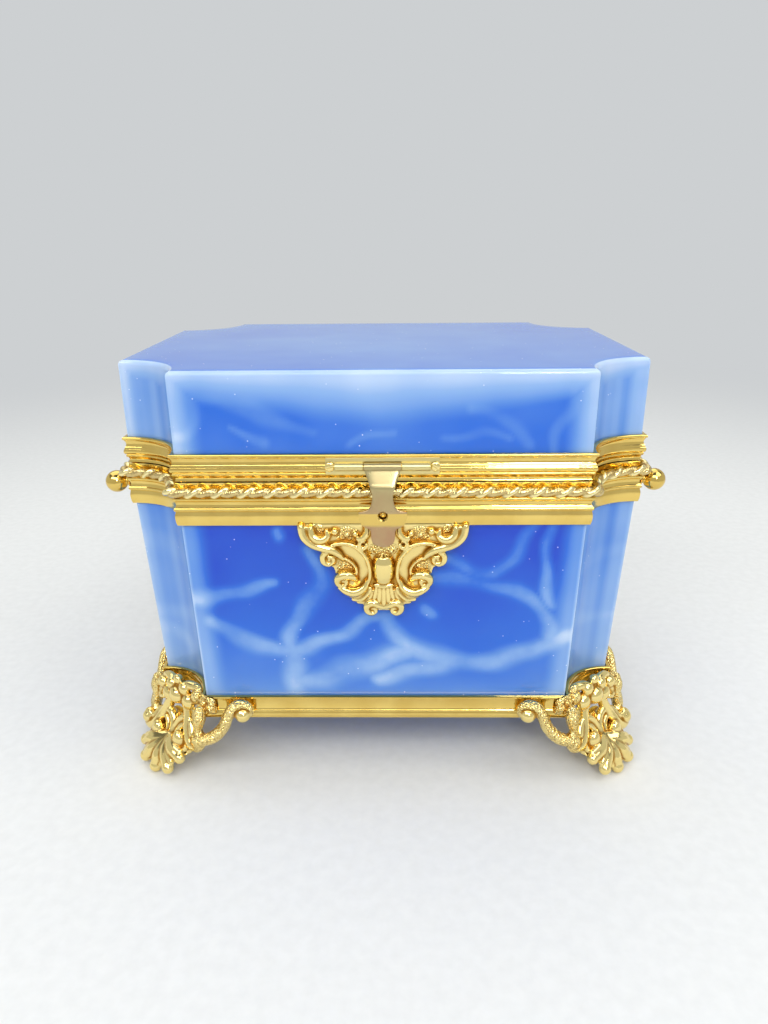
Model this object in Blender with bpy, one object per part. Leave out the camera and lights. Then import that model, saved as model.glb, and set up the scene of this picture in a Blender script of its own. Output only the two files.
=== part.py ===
"""An opaline glass casket in gilt brass mounts: a coved box on four rococo feet, a hinged lid and a hasp.

Metres, +Z up, front towards -Y. The origin is the centre of the footprint, on the surface it stands on.
Plans are given by a section: half width, half depth and the radius of the hollow (cove) at each corner.
An offset runs outwards from a section, so glass walls have negative offsets and mouldings positive ones.
"""

import math

import bmesh
import bpy
from mathutils import Matrix, Vector

mm = 0.001
gap = 0.3 * mm  # running clearance and solder film between neighbours

# Glass
glass_width = 140.0 * mm
glass_depth = 98.8 * mm
cove_radius = 17.5 * mm
glass_wall = 6.5 * mm
body_glass_height = 65.6 * mm
body_floor = 8.0 * mm
body_taper = 2.9 * mm  # how far each side draws in between the mount and the foot of the glass
cove_taper = 2.0 * mm  # how much smaller the cove is down there
lid_glass_height = 25.6 * mm
lid_roof = 9.0 * mm
lid_edge = 1.4 * mm

# Brass mounts
flange = 0.9 * mm
lip_height = 1.0 * mm
hollow_height = 1.6 * mm
bead_height = 2.0 * mm
lid_frame_height = 7.3 * mm
apron_height = 5.1 * mm
lip_out = 1.25 * mm
hollow_out = 0.8 * mm
recess_out = 0.35 * mm
apron_out = 1.0 * mm
lid_bed = 0.8 * mm  # plaster under the lid glass
body_bed = 3.6 * mm  # plaster over the rim of the body
base_bed = 0.7 * mm

# Base moulding and feet
stand_height = 18.6 * mm  # floor to the underside of the base moulding
base_height = 7.2 * mm
base_wall = 0.6 * mm  # offset of the moulding's inner face
base_lip_out = 1.55 * mm
base_hollow_out = 1.15 * mm
base_flange = 0.7 * mm
toe_radius = 2.2 * mm
arm_radius = 1.6 * mm
ball_radius = 2.4 * mm
arm_reach = 26.0 * mm  # from the corner of the plan to the ball that ends each arm

# Rope moulding and its end balls
rope_diameter = 3.0 * mm
rope_headroom = 0.6 * mm
rope_bend = 3.0 * mm
finial_radius = 3.1 * mm
finial_neck = 1.1 * mm
finial_y = -30.0 * mm
finial_drop = 2.2 * mm  # below the top of the lower ledge

# Hinge at the back
hinge_length = 60.0 * mm
hinge_knuckles = 5
hinge_radius = 1.6 * mm
hinge_leaf = 0.7 * mm
hinge_leaf_height = 5.5 * mm
hinge_pin_radius = 0.75 * mm
hinge_peen = 0.6 * mm

# Hasp at the front
hasp_axis_drop = 3.0 * mm  # hasp hinge below the top of the lid frame
hasp_barrel_radius = 1.05 * mm
hasp_pin_radius = 0.45 * mm
hasp_plate_width = 28.6 * mm
hasp_plate_height = 4.2 * mm
hasp_plate_thickness = 0.5 * mm
hasp_knuckle = 7.2 * mm
hasp_thickness = 0.8 * mm
hasp_top_width = 9.0 * mm
hasp_waist_width = 6.1 * mm
hasp_saddle_width = 12.8 * mm
hasp_tongue_width = 6.5 * mm
hasp_tongue_length = 6.0 * mm  # below the body frame
stud_radius = 0.8 * mm
screw_head_radius = 1.1 * mm
screw_head = 0.8 * mm
screw_radius = 0.5 * mm

# Escutcheon
escutcheon_width = 43.0 * mm
escutcheon_height = 23.4 * mm
escutcheon_plate = 1.0 * mm

cove_steps = 8
drill = 1.25  # a hole's radius over that of what passes through it

# Levels, from the floor up
base_bottom = stand_height
base_top = base_bottom + base_height
glass_bottom = base_bottom + base_flange + gap + base_bed + gap
body_rim = glass_bottom + body_glass_height
body_frame_top = body_rim + gap + body_bed + gap + flange
ledge = body_frame_top - rope_diameter - gap - rope_headroom
body_frame_bottom = ledge - lip_height - hollow_height - apron_height
lid_frame_bottom = body_frame_top + gap
lid_rim = lid_frame_bottom + flange + gap + lid_bed + gap
lid_frame_top = lid_frame_bottom + lid_frame_height
lid_top = lid_rim + lid_glass_height
parting = (body_frame_top + lid_frame_bottom) / 2

mouth = (glass_width / 2, glass_depth / 2, cove_radius)
base = (glass_width / 2 - body_taper, glass_depth / 2 - body_taper, cove_radius - cove_taper)

front = -glass_depth / 2
rope_out = recess_out + gap + rope_diameter / 2
rope_level = ledge + gap + rope_diameter / 2
hinge_axis = Vector((0, glass_depth / 2 + lip_out + gap + hinge_radius, parting))
hasp_notch = hollow_out - 0.05 * mm
hasp_axis_out = hasp_notch + gap + hasp_barrel_radius
hasp_axis = Vector((0, front - hasp_axis_out, lid_frame_top - hasp_axis_drop))


def material(name, colour, roughness, metallic=0.0, transmission=0.0):
    """A Principled material in linear colour."""
    made = bpy.data.materials.new(name)
    made.use_nodes = True
    shader = made.node_tree.nodes["Principled BSDF"]
    shader.inputs["Base Color"].default_value = (*colour, 1)
    shader.inputs["Roughness"].default_value = roughness
    shader.inputs["Metallic"].default_value = metallic
    shader.inputs["Transmission Weight"].default_value = transmission
    return made


def add(name, mesh, look):
    """The mesh as an object, shaded smooth up to 35 degrees."""
    mesh.shade_smooth()
    mesh.set_sharp_from_angle(angle=math.radians(35))
    made = bpy.data.objects.new(name, mesh)
    bpy.context.scene.collection.objects.link(made)
    if look:
        made.data.materials.append(look)
    return made


def mesh_of(bm, name):
    bmesh.ops.recalc_face_normals(bm, faces=bm.faces)
    mesh = bpy.data.meshes.new(name)
    bm.to_mesh(mesh)
    bm.free()
    return mesh


def hang(made, parent):
    """Parents an object to an empty on its joint's axis, and puts its origin there."""
    made.data.transform(Matrix.Translation(-parent.matrix_world.translation))
    made.parent = parent
    return made


def boolean(target, cutter, operation="DIFFERENCE"):
    """Cuts target with cutter, or joins them. The cutter becomes a wire guide."""
    modifier = target.modifiers.new(cutter.name, "BOOLEAN")
    modifier.operation = operation
    modifier.object = cutter
    modifier.solver = "EXACT"
    cutter.hide_render = True
    cutter.display_type = "WIRE"


def outline(section, offset=0.0):
    """Plan points, anticlockwise from the front left: four straight sides with a hollow arc at each corner.

    An arc keeps its centre on the corner of the section, so a bigger offset leaves it a smaller radius.
    """
    half_width, half_depth, radius = section
    arc = radius - offset
    lean = math.asin(offset / arc)
    points = []
    for quarter, (x, y) in enumerate(((-1, -1), (1, -1), (1, 1), (-1, 1))):
        start = math.pi / 2 * (1 + quarter) + lean
        for step in range(cove_steps + 1):
            angle = start - (math.pi / 2 + 2 * lean) * step / cove_steps
            points.append((x * half_width + arc * math.cos(angle), y * half_depth + arc * math.sin(angle)))
    return points


def ring(name, section, profile, look):
    """A closed profile of (offset, height) carried round the section, mitred at the ends of each cove."""
    bm = bmesh.new()
    loops = [[bm.verts.new((x, y, z)) for x, y in outline(section, offset)] for offset, z in profile]
    count = len(loops[0])
    for here, there in zip(loops, loops[1:] + loops[:1]):
        for i in range(count):
            bm.faces.new((here[i], here[(i + 1) % count], there[(i + 1) % count], there[i]))
    return add(name, mesh_of(bm, name), look)


def stack(name, levels, look):
    """A body of plan outlines one above another, given as (section, offset, height), capped at both ends."""
    bm = bmesh.new()
    loops = [[bm.verts.new((x, y, z)) for x, y in outline(section, offset)] for section, offset, z in levels]
    count = len(loops[0])
    for here, there in zip(loops, loops[1:]):
        for i in range(count):
            bm.faces.new((here[i], here[(i + 1) % count], there[(i + 1) % count], there[i]))
    bm.faces.new(loops[0])
    bm.faces.new(loops[-1])
    return add(name, mesh_of(bm, name), look)


def turned(name, centre, axis, profile, look=None, sides=16):
    """A solid of revolution about axis: (distance along it, radius) from centre, closed by flat ends."""
    bm = bmesh.new()
    turn = Vector((0, 0, 1)).rotation_difference(Vector(axis)).to_matrix()
    loops = []
    for along, radius in profile:
        angles = [math.tau * i / sides for i in range(sides)]
        points = [Vector((radius * math.cos(a), radius * math.sin(a), along)) for a in angles]
        loops.append([bm.verts.new(Vector(centre) + turn @ point) for point in points])
    for here, there in zip(loops, loops[1:]):
        for i in range(sides):
            bm.faces.new((here[i], here[(i + 1) % sides], there[(i + 1) % sides], there[i]))
    bm.faces.new(loops[0])
    bm.faces.new(loops[-1])
    return add(name, mesh_of(bm, name), look)


def cylinder(name, start, end, radius, look=None, sides=16):
    along = Vector(end) - Vector(start)
    return turned(name, start, along.normalized(), [(0, radius), (along.length, radius)], look, sides)


def block(name, low, high, look=None):
    """A box between two corners."""
    bm = bmesh.new()
    bmesh.ops.create_cube(bm, size=1)
    low, high = Vector(low), Vector(high)
    for vert in bm.verts:
        vert.co = Vector(((high[i] + low[i]) / 2 + vert.co[i] * (high[i] - low[i]) for i in range(3)))
    return add(name, mesh_of(bm, name), look)


def bar(name, section, half_length, look=None):
    """A straight bar along X, both ways from the middle, of a section given as (y, height)."""
    bm = bmesh.new()
    ends = [[bm.verts.new((x, y, z)) for y, z in section] for x in (-half_length, half_length)]
    bm.faces.new(ends[0])
    bm.faces.new(ends[1])
    for i in range(len(section)):
        j = (i + 1) % len(section)
        bm.faces.new((ends[0][i], ends[0][j], ends[1][j], ends[1][i]))
    return add(name, mesh_of(bm, name), look)


def tube(bm, points, radii, sides=8):
    """Adds a closed tube of changing radius along points to bm."""
    points = [Vector(point) for point in points]
    side = None
    loops = []
    for i, point in enumerate(points):
        ahead = points[min(i + 1, len(points) - 1)] - points[max(i - 1, 0)]
        ahead.normalize()
        side = ahead.orthogonal() if side is None else side
        side = (side - ahead * side.dot(ahead)).normalized()
        other = ahead.cross(side)
        angles = [math.tau * k / sides for k in range(sides)]
        loops.append([bm.verts.new(point + radii[i] * (side * math.cos(a) + other * math.sin(a))) for a in angles])
    for here, there in zip(loops, loops[1:]):
        for k in range(sides):
            bm.faces.new((here[k], here[(k + 1) % sides], there[(k + 1) % sides], there[k]))
    bm.faces.new(loops[0][::-1])
    bm.faces.new(loops[-1])


def ball(bm, centre, radius):
    """Adds a ball to bm."""
    bmesh.ops.create_icosphere(bm, subdivisions=2, radius=radius, matrix=Matrix.Translation(centre))


def casting(name, bm, grain, share, look):
    """Fuses the overlapping forms in bm into one skin, as a cast piece has, and thins its faces."""
    made = add(name, mesh_of(bm, name), look)
    fuse = made.modifiers.new("fuse", "REMESH")
    fuse.mode = "VOXEL"
    fuse.voxel_size = grain
    thin = made.modifiers.new("thin", "DECIMATE")
    thin.ratio = share
    return made


def glass_parts(look):
    """The hollow body, drawn in towards its foot, and the hollow lid."""
    neck = body_frame_bottom
    stack(
        "body_glass",
        [
            (base, -lid_edge, glass_bottom),
            (base, 0, glass_bottom + lid_edge),
            (mouth, 0, neck),
            (mouth, 0, body_rim),
            (mouth, -glass_wall, body_rim),
            (mouth, -glass_wall, neck),
            (base, -glass_wall, glass_bottom + body_floor + lid_edge),
            (base, -glass_wall - lid_edge, glass_bottom + body_floor),
        ],
        look,
    )
    roof = lid_top - lid_roof
    return stack(
        "lid_glass",
        [
            (mouth, -lid_edge, lid_top),
            (mouth, -0.4 * lid_edge, lid_top - 0.25 * lid_edge),
            (mouth, 0, lid_top - lid_edge),
            (mouth, 0, lid_rim),
            (mouth, -glass_wall, lid_rim),
            (mouth, -glass_wall, roof - lid_edge),
            (mouth, -glass_wall - lid_edge, roof),
        ],
        look,
    )


def cushion_lines(bottom, top, low, high):
    """The three points of a shallow curve between two levels, from offset low through high to low."""
    return [(low, top), (high, (top + bottom) / 2), (low, bottom)]


def lid_frame(look):
    """The lid's mount: lip, hollow and bead outside, a flange under the plaster inside."""
    lip = lid_frame_top - lip_height
    hollow = lip - hollow_height
    bead = hollow - bead_height
    seat = lid_rim - gap
    return ring(
        "lid_frame",
        mouth,
        [
            (gap, lid_frame_top),
            (lip_out - 0.3 * mm, lid_frame_top),
            (lip_out, lid_frame_top - 0.3 * mm),
            (lip_out, lip),
            *cushion_lines(hollow, lip - 0.2 * mm, hollow_out + 0.1 * mm, hollow_out)[:2],
            *cushion_lines(bead, hollow, hollow_out + 0.15 * mm, lip_out),
            (recess_out, bead - 0.3 * mm),
            (recess_out, lid_frame_bottom),
            (-glass_wall, lid_frame_bottom),
            (-glass_wall, lid_frame_bottom + flange),
            (-2 * gap, lid_frame_bottom + flange),
            (-2 * gap, seat),
            (gap, seat),
        ],
        look,
    )


def body_frame(look):
    """The body's mount: a plain recess for the rope, then a ledge, a hollow, a ridge and an apron."""
    lip = ledge - lip_height
    hollow = lip - hollow_height
    seat = body_rim + gap
    return ring(
        "body_frame",
        mouth,
        [
            (-glass_wall, body_frame_top),
            (recess_out, body_frame_top),
            (recess_out, ledge),
            (lip_out - 0.2 * mm, ledge),
            (lip_out, ledge - 0.2 * mm),
            (lip_out, lip),
            (hollow_out, (lip + hollow) / 2),
            (lip_out - 0.1 * mm, hollow),
            (lip_out, hollow - 0.2 * mm),
            (apron_out, hollow - 0.5 * mm),
            (apron_out + 0.1 * mm, (hollow + body_frame_bottom) / 2),
            (apron_out - 0.15 * mm, body_frame_bottom),
            (gap, body_frame_bottom),
            (gap, seat),
            (-2 * gap, seat),
            (-2 * gap, body_frame_top - flange),
            (-glass_wall, body_frame_top - flange),
        ],
        look,
    )


def base_band(look):
    """The moulding that the body stands in: a lip, two hollows with a ridge between, and a foot roll."""
    step = base_height / 6
    return ring(
        "base_band",
        base,
        [
            (base_wall, base_top),
            (base_lip_out - 0.2 * mm, base_top),
            (base_lip_out, base_top - 0.2 * mm),
            (base_lip_out, base_top - 0.7 * step),
            (base_hollow_out, base_top - step),
            (base_hollow_out, base_top - 2.3 * step),
            (base_lip_out - 0.1 * mm, base_top - 2.8 * step),
            (base_lip_out - 0.1 * mm, base_top - 3.2 * step),
            (base_hollow_out, base_top - 3.7 * step),
            (base_lip_out, base_top - 4.8 * step),
            (base_lip_out, base_bottom + 0.3 * step),
            (base_lip_out - 0.3 * mm, base_bottom),
            (-glass_wall, base_bottom),
            (-glass_wall, base_bottom + base_flange),
            (base_wall, base_bottom + base_flange),
        ],
        look,
    )


def bed(name, section, outer, bottom, top, look):
    """A ring of plaster between glass and metal."""
    inner = -glass_wall + gap
    return ring(name, section, [(inner, bottom), (outer, bottom), (outer, top), (inner, top)], look)


def rounded(points, radius, steps=3):
    """A closed plan line with its sharp corners rounded off by arcs that start radius away from each corner."""
    made = []
    count = len(points)
    for i, point in enumerate(points):
        here = Vector(point)
        before = (Vector(points[i - 1]) - here).normalized()
        after = (Vector(points[(i + 1) % count]) - here).normalized()
        if before.dot(after) < -0.8:
            made.append(here)
            continue
        start = here + before * radius
        end = here + after * radius
        for k in range(steps + 1):
            t = k / steps
            made.append((1 - t) ** 2 * start + 2 * t * (1 - t) * here + t * t * end)
    return made


def rope(look):
    """The rope moulding in the recess, all round the body but for the hinge."""
    path = rounded(outline(mouth, rope_out), rope_bend)
    break_half = hinge_length / 2 + 2 * rope_diameter
    path = [Vector((point.x, point.y, rope_level)) for point in path]
    split = max(i for i, point in enumerate(path) if point.x > 0 and point.y > glass_depth / 2)
    start = Vector((-break_half, path[split].y, rope_level))
    end = Vector((break_half, path[split].y, rope_level))
    line = [start, *path[split + 1 :], *path[: split + 1], end]
    bm = bmesh.new()
    tube(bm, line, [rope_diameter / 2] * len(line), sides=6)
    return add("rope_moulding", mesh_of(bm, "rope_moulding"), look)


def finial(name, side, frame, look):
    """A turned ball on a neck, its shank through the side of the body frame."""
    level = ledge - finial_drop
    wall = side * glass_width / 2
    centre = Vector((wall + side * (lip_out + finial_neck + finial_radius), finial_y, level))
    inner = abs(centre.x) - glass_width / 2 - recess_out
    neck_radius = finial_radius * 0.4
    stop = -math.sqrt(finial_radius**2 - neck_radius**2)
    profile = [(-inner, stud_radius), (stop - finial_neck, stud_radius), (stop - finial_neck, neck_radius)]
    count = 10
    first = math.acos(-stop / finial_radius)
    for i in range(count):
        angle = first + (math.pi - first - 0.15) * i / (count - 1)
        profile.append((-finial_radius * math.cos(angle), finial_radius * math.sin(angle)))
    made = turned(name, centre, (side, 0, 0), profile, look)
    start = (wall - side * 2 * mm, finial_y, level)
    end = (wall + side * 4 * mm, finial_y, level)
    boolean(frame, cylinder(name + "_hole", start, end, stud_radius * drill))
    return made


def knuckle_spans():
    """The start and end of each knuckle of the back hinge along X."""
    pitch = (hinge_length + gap) / hinge_knuckles
    return [(-hinge_length / 2 + i * pitch, -hinge_length / 2 + (i + 1) * pitch - gap) for i in range(hinge_knuckles)]


def hinge_leaf_part(name, spans, up, look):
    """A leaf flat against a frame, with its knuckles round the pin. Up is 1 on the lid and -1 on the body."""
    inner = glass_depth / 2 + lip_out + gap
    near = parting + up * (hinge_radius + gap)
    far = near + up * hinge_leaf_height
    low, high = min(near, far), max(near, far)
    leaf = block(name, (-hinge_length / 2, inner, low), (hinge_length / 2, inner + hinge_leaf, high), look)
    for i, (start, end) in enumerate(spans):
        tab_low = min(parting, near + up * 0.2 * mm)
        tab_high = max(parting, near + up * 0.2 * mm)
        tab = block(f"{name}_tab_{i}", (start, inner, tab_low), (end, inner + hinge_leaf, tab_high))
        y = hinge_axis.y
        barrel = cylinder(f"{name}_barrel_{i}", (start, y, parting), (end, y, parting), hinge_radius)
        boolean(leaf, tab, "UNION")
        boolean(leaf, barrel, "UNION")
    reach = hinge_length
    ends = ((-reach, hinge_axis.y, parting), (reach, hinge_axis.y, parting))
    boolean(leaf, cylinder(name + "_bore", *ends, hinge_pin_radius * drill))
    return leaf


def hinge_pin(look):
    """The pin through all the knuckles, peened over at both ends."""
    reach = hinge_length / 2 + gap
    head = hinge_pin_radius * 1.6
    profile = [(-reach - hinge_peen, head), (-reach, head), (-reach, hinge_pin_radius)]
    profile += [(-along, radius) for along, radius in reversed(profile)]
    return turned("hinge_pin", hinge_axis, (1, 0, 0), profile, look)


def hasp_line():
    """The hasp's inner face as (offset, height, width), down from its barrel.

    It clears the rope, and it comes in below only as fast as the opening lid carries it out again.
    """
    crown = rope_out + rope_diameter / 2 + gap
    waist = rope_level - rope_diameter / 2
    ridge = ledge - lip_height - hollow_height
    tip = body_frame_bottom - hasp_tongue_length
    saddle = (ridge + body_frame_bottom) / 2
    throat = (hasp_top_width + hasp_waist_width) / 2
    return [
        (hasp_axis_out + 0.1 * mm, hasp_axis.z - hasp_barrel_radius * 0.6, hasp_top_width),
        (hasp_axis_out + 0.3 * mm, hasp_axis.z - hasp_barrel_radius - gap, hasp_top_width),
        (crown - 0.5 * mm, body_frame_top + 0.9 * mm, throat),
        (crown, body_frame_top - 0.3 * mm, hasp_waist_width + 0.9 * mm),
        (crown, rope_level - 0.4 * mm, hasp_waist_width),
        (crown, waist, hasp_waist_width + 0.4 * mm),
        (crown - 0.1 * mm, ridge + 1.5 * mm, 0.58 * hasp_saddle_width),
        (crown - 0.15 * mm, ridge + 0.5 * mm, 0.78 * hasp_saddle_width),
        (crown - 0.2 * mm, ridge, hasp_saddle_width),
        (crown - 0.3 * mm, saddle, hasp_saddle_width),
        (crown - 0.4 * mm, body_frame_bottom + 0.8 * mm, 0.8 * hasp_saddle_width),
        (crown - 0.5 * mm, body_frame_bottom, hasp_tongue_width),
        (crown - 0.8 * mm, tip + hasp_tongue_width * 0.4, hasp_tongue_width),
        (crown - 0.95 * mm, tip + hasp_tongue_width * 0.12, 0.72 * hasp_tongue_width),
        (crown - 1.0 * mm, tip, 0.3 * hasp_tongue_width),
    ]


def hasp(look):
    """The strap that closes the box: a knuckle, a sprung leaf, a saddle with the stud's hole, and a tongue."""
    bm = bmesh.new()
    loops = []
    for out, z, width in hasp_line():
        corners = ((-1, 0), (1, 0), (1, hasp_thickness), (-1, hasp_thickness))
        loops.append([bm.verts.new((side * width / 2, front - out - skin, z)) for side, skin in corners])
    for here, there in zip(loops, loops[1:]):
        for i in range(4):
            bm.faces.new((here[i], here[(i + 1) % 4], there[(i + 1) % 4], there[i]))
    bm.faces.new(loops[0])
    bm.faces.new(loops[-1])
    made = add("hasp", mesh_of(bm, "hasp"), look)
    half = hasp_top_width / 2
    y, z = hasp_axis.y, hasp_axis.z
    boolean(made, cylinder("hasp_barrel", (-half, y, z), (half, y, z), hasp_barrel_radius), "UNION")
    ends = ((-hasp_plate_width, y, z), (hasp_plate_width, y, z))
    boolean(made, cylinder("hasp_bore", *ends, hasp_pin_radius * drill))
    level = stud_level()
    eye = cylinder("hasp_eye", (0, front - 9 * mm, level), (0, front - 2 * mm, level), stud_radius * 1.5)
    boolean(made, eye)
    return made


def stud_level():
    return ledge - lip_height - hollow_height - 1.3 * mm


def catch_stud(frame, look):
    """The stud that the hasp's hole snaps over, riveted through the body frame."""
    level = stud_level()
    reach = rope_out + rope_diameter / 2 + gap - 0.3 * mm - gap
    profile = [(recess_out, stud_radius), (reach - 0.4 * mm, stud_radius), (reach, stud_radius * 0.6)]
    made = turned("catch_stud", (0, front, level), (0, -1, 0), profile, look)
    hole = cylinder("stud_hole", (0, front + 2 * mm, level), (0, front - 4 * mm, level), stud_radius * drill)
    boolean(frame, hole)
    return made


def hasp_mount(frame, look):
    """The hasp's hinge plate with its two knuckles, let into the lid frame and held by two screws."""
    half = hasp_plate_width / 2
    y, z = hasp_axis.y, hasp_axis.z
    back = front - hasp_notch - gap
    low, high = z - hasp_plate_height / 2, z + hasp_plate_height / 2
    plate = block("hasp_hinge_plate", (-half, back - hasp_plate_thickness, low), (half, back, high), look)
    notch_low = (-half - gap, front - 9 * mm, low - gap)
    notch_high = (half + gap, front - hasp_notch, high + gap)
    boolean(frame, block("hasp_notch", notch_low, notch_high))
    for side in (-1, 1):
        inner = side * (hasp_top_width / 2 + gap)
        outer = inner + side * hasp_knuckle
        barrel = cylinder(f"hasp_knuckle_{side}", (inner, y, z), (outer, y, z), hasp_barrel_radius)
        boolean(plate, barrel, "UNION")
    relief = hasp_top_width / 2 + gap
    room = hasp_barrel_radius + gap
    boolean(plate, block("hasp_gate", (-relief, back - 9 * mm, z - room), (relief, back + gap, z + room)))
    bore_reach = relief + hasp_knuckle + gap
    ends = ((-bore_reach, y, z), (bore_reach, y, z))
    boolean(plate, cylinder("hasp_plate_bore", *ends, hasp_pin_radius * drill))
    pin_reach = bore_reach - 2 * gap
    pin = cylinder("hasp_pin", (-pin_reach, y, z), (pin_reach, y, z), hasp_pin_radius, look, sides=12)
    parts = [plate, pin]
    for name, side in (("left", -1), ("right", 1)):
        x = side * (half - screw_head_radius)
        face = back - hasp_plate_thickness - gap
        tail = face - (front - recess_out)
        profile = [(tail, screw_radius), (0, screw_radius), (0, screw_head_radius)]
        profile += [(screw_head / 2, screw_head_radius), (screw_head, screw_head_radius * 0.6)]
        screw = turned(f"hasp_screw_{name}", (x, face, z), (0, -1, 0), profile, look)
        hole = cylinder(f"screw_hole_{name}", (x, front + 2 * mm, z), (x, front - 9 * mm, z), screw_radius * 1.4)
        boolean(plate, hole)
        boolean(frame, hole)
        parts.append(screw)
    return parts


def glass_face(drop):
    """The offset of the front of the body glass from the mouth section, drop below the body frame."""
    fall = body_frame_bottom - glass_bottom - lid_edge
    return -body_taper * drop / fall


def escutcheon(look):
    """The pendant under the hasp: a cast plate of C scrolls round two smooth hollows, with a baluster between."""
    half = escutcheon_width / 2
    drop = escutcheon_height

    def at(across, down, out):
        return Vector((across * half, front - glass_face(down * drop) - out, body_frame_bottom - down * drop))

    bm = bmesh.new()
    rise = gap + escutcheon_plate
    edge = [(1.0, 0.0), (0.98, 0.16), (0.88, 0.26), (0.76, 0.32), (0.72, 0.42), (0.58, 0.48), (0.54, 0.6)]
    edge += [(0.42, 0.68), (0.37, 0.8), (0.2, 0.86), (0.2, 0.97), (0.08, 1.0)]
    right = [Vector((a, d)) for a, d in edge]
    plan = right + [Vector((-point.x, point.y)) for point in reversed(right)]
    front_loop = [bm.verts.new(at(point.x, point.y, rise)) for point in plan]
    back_loop = [bm.verts.new(at(point.x, point.y, -gap)) for point in plan]
    bm.faces.new(front_loop)
    bm.faces.new(back_loop[::-1])
    for i in range(len(plan)):
        j = (i + 1) % len(plan)
        bm.faces.new((front_loop[i], front_loop[j], back_loop[j], back_loop[i]))
    for side in (-1, 1):
        bold = 1.1 * mm
        rim = [at(side * a, d, rise) for a, d in edge]
        tube(bm, rim, [bold] * len(rim), sides=6)
        curl = [(0.3, 0.12), (0.55, 0.2), (0.34, 0.26), (0.2, 0.4), (0.18, 0.58), (0.3, 0.7)]
        tube(bm, [at(side * a, d, rise) for a, d in curl], [0.8 * mm] * len(curl), sides=6)
        for a, d, size in ((0.62, 0.12, 1.5), (0.66, 0.4, 1.5), (0.46, 0.6, 1.9), (0.27, 0.78, 1.9), (0.14, 0.95, 1.5)):
            ball(bm, at(side * a, d, rise), size * mm)
    tube(bm, [at(0, 0.34, rise), at(0, 0.5, rise), at(0, 0.68, rise)], [2.2 * mm, 2.6 * mm, 1.6 * mm])
    made = casting("escutcheon", bm, 0.6 * mm, 0.09, look)
    low, high = front - glass_face(1.5 * drop) - gap, front - gap
    under = body_frame_bottom - gap
    deep = glass_wall
    far = 2 * glass_wall
    seat = [(low + deep, body_frame_bottom - 1.5 * drop), (low, body_frame_bottom - 1.5 * drop)]
    seat += [(high, under), (high - far, under), (high - far, body_frame_top), (high + deep, body_frame_top)]
    boolean(made, bar("escutcheon_seat", seat, escutcheon_width))
    return made


def foot(name, x, y, look):
    """A cast foot across one corner: a palmette of toes, a flower above it, and a scrolled arm along each side.

    Points are (along the side, out from the side, up) on an arm, and (across, out, up) from the corner of the
    plan on the rest, where out runs along the diagonal.
    """
    corner = Vector((x * base[0], y * base[1], 0))
    out = Vector((x, y, 0)).normalized()
    across = Vector((-x, y, 0)).normalized()

    def at(s, o, z):
        return corner + across * s * mm + out * o * mm + Vector((0, 0, z * mm))

    def wing(side, a, o, z):
        along = Vector((-x, 0, 0)) if side > 0 else Vector((0, -y, 0))
        away = Vector((0, y, 0)) if side > 0 else Vector((x, 0, 0))
        return corner + along * a + away * o * mm + Vector((0, 0, z * mm))

    bm = bmesh.new()
    spine = [at(0, -8.4, 23.5), at(0, -7.6, 17.0), at(0, -6.4, 13.0), at(0, -4.2, 8.7)]
    tube(bm, spine, [2.8 * mm, 2.2 * mm, 3.4 * mm, 4.0 * mm])
    hub = at(0, -4.4, 8.9)
    toes = ((0, 2.2, 1.5, toe_radius / mm), (5.2, 1.0, 3.6, 2.3), (8.4, -1.8, 6.9, 2.2))
    for s, o, z, size in toes:
        for side in (-1, 1) if s else (1,):
            tip = at(side * s, o, z)
            tube(bm, [hub, (hub + tip) / 2, tip], [3.0 * mm, 2.8 * mm, size * 0.9 * mm])
            ball(bm, tip, size * mm)
    petals = ((0, -8.4, 22.8, 3.1), (3.4, -8.8, 21.4, 2.2), (3.2, -9.0, 25.2, 2.2), (0, -8.6, 27.0, 1.9))
    for s, o, z, size in petals:
        for side in (-1, 1) if s else (1,):
            ball(bm, at(side * s, o, z), size * mm)
    for side in (-1, 1):
        ear = [(2.5, -8.0, 20.5), (4.8, -7.4, 16.5), (6.2, -6.2, 12.5), (8.6, -5.2, 9.4), (11.0, -4.9, 10.2)]
        tube(bm, [at(side * s, o, z) for s, o, z in ear], [1.7 * mm, 1.5 * mm, 1.7 * mm, 1.8 * mm, 1.8 * mm])
        ball(bm, at(side * 11.1, -4.8, 11.0), 2.2 * mm)
        top = [(3.0, -9.0, 23.5), (8.0, -9.6, 24.6), (12.4, -9.2, 23.0)]
        tube(bm, [at(side * s, o, z) for s, o, z in top], [1.6 * mm, 1.4 * mm, 1.8 * mm])
        lug = [(12.6, -9.0, 22.0), (11.6, -12.4, 22.0)]
        tube(bm, [at(side * s, o, z) for s, o, z in lug], [2.0 * mm, 2.0 * mm])
        tube(bm, [wing(side, 15.1 * mm, 3.3, 22.6), wing(side, 15.0 * mm, 4.3, 14.6)], [2.2 * mm, 1.8 * mm])
        tube(bm, [at(side * 10.6, -4.9, 10.4), wing(side, 15.0 * mm, 4.5, 14.4)], [1.7 * mm, 1.8 * mm])
        reach = arm_reach
        arm = [
            wing(side, 14.6 * mm, 4.6, 14.4),
            wing(side, 0.7 * reach, 4.8, 15.2),
            wing(side, 0.82 * reach, 4.3, 19.6),
            wing(side, 0.88 * reach, 3.8, 23.4),
            wing(side, reach - 1.2 * mm, 3.4, 24.4),
        ]
        tube(bm, arm, [arm_radius * 1.1, arm_radius * 1.1, arm_radius, arm_radius, arm_radius * 0.8])
        ball(bm, wing(side, reach, 3.4, 21.8), ball_radius)
    made = casting(name, bm, 0.8 * mm, 0.1, look)
    clear = base_lip_out + gap
    levels = [(base, clear, base_bottom - gap), (base, clear, body_rim)]
    boolean(made, stack(name + "_seat", levels, None))
    far = 40 * mm
    low = corner - Vector((far, far, far))
    high = corner + Vector((far, far, 0))
    boolean(made, block(name + "_floor", low, high))
    return made


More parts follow.
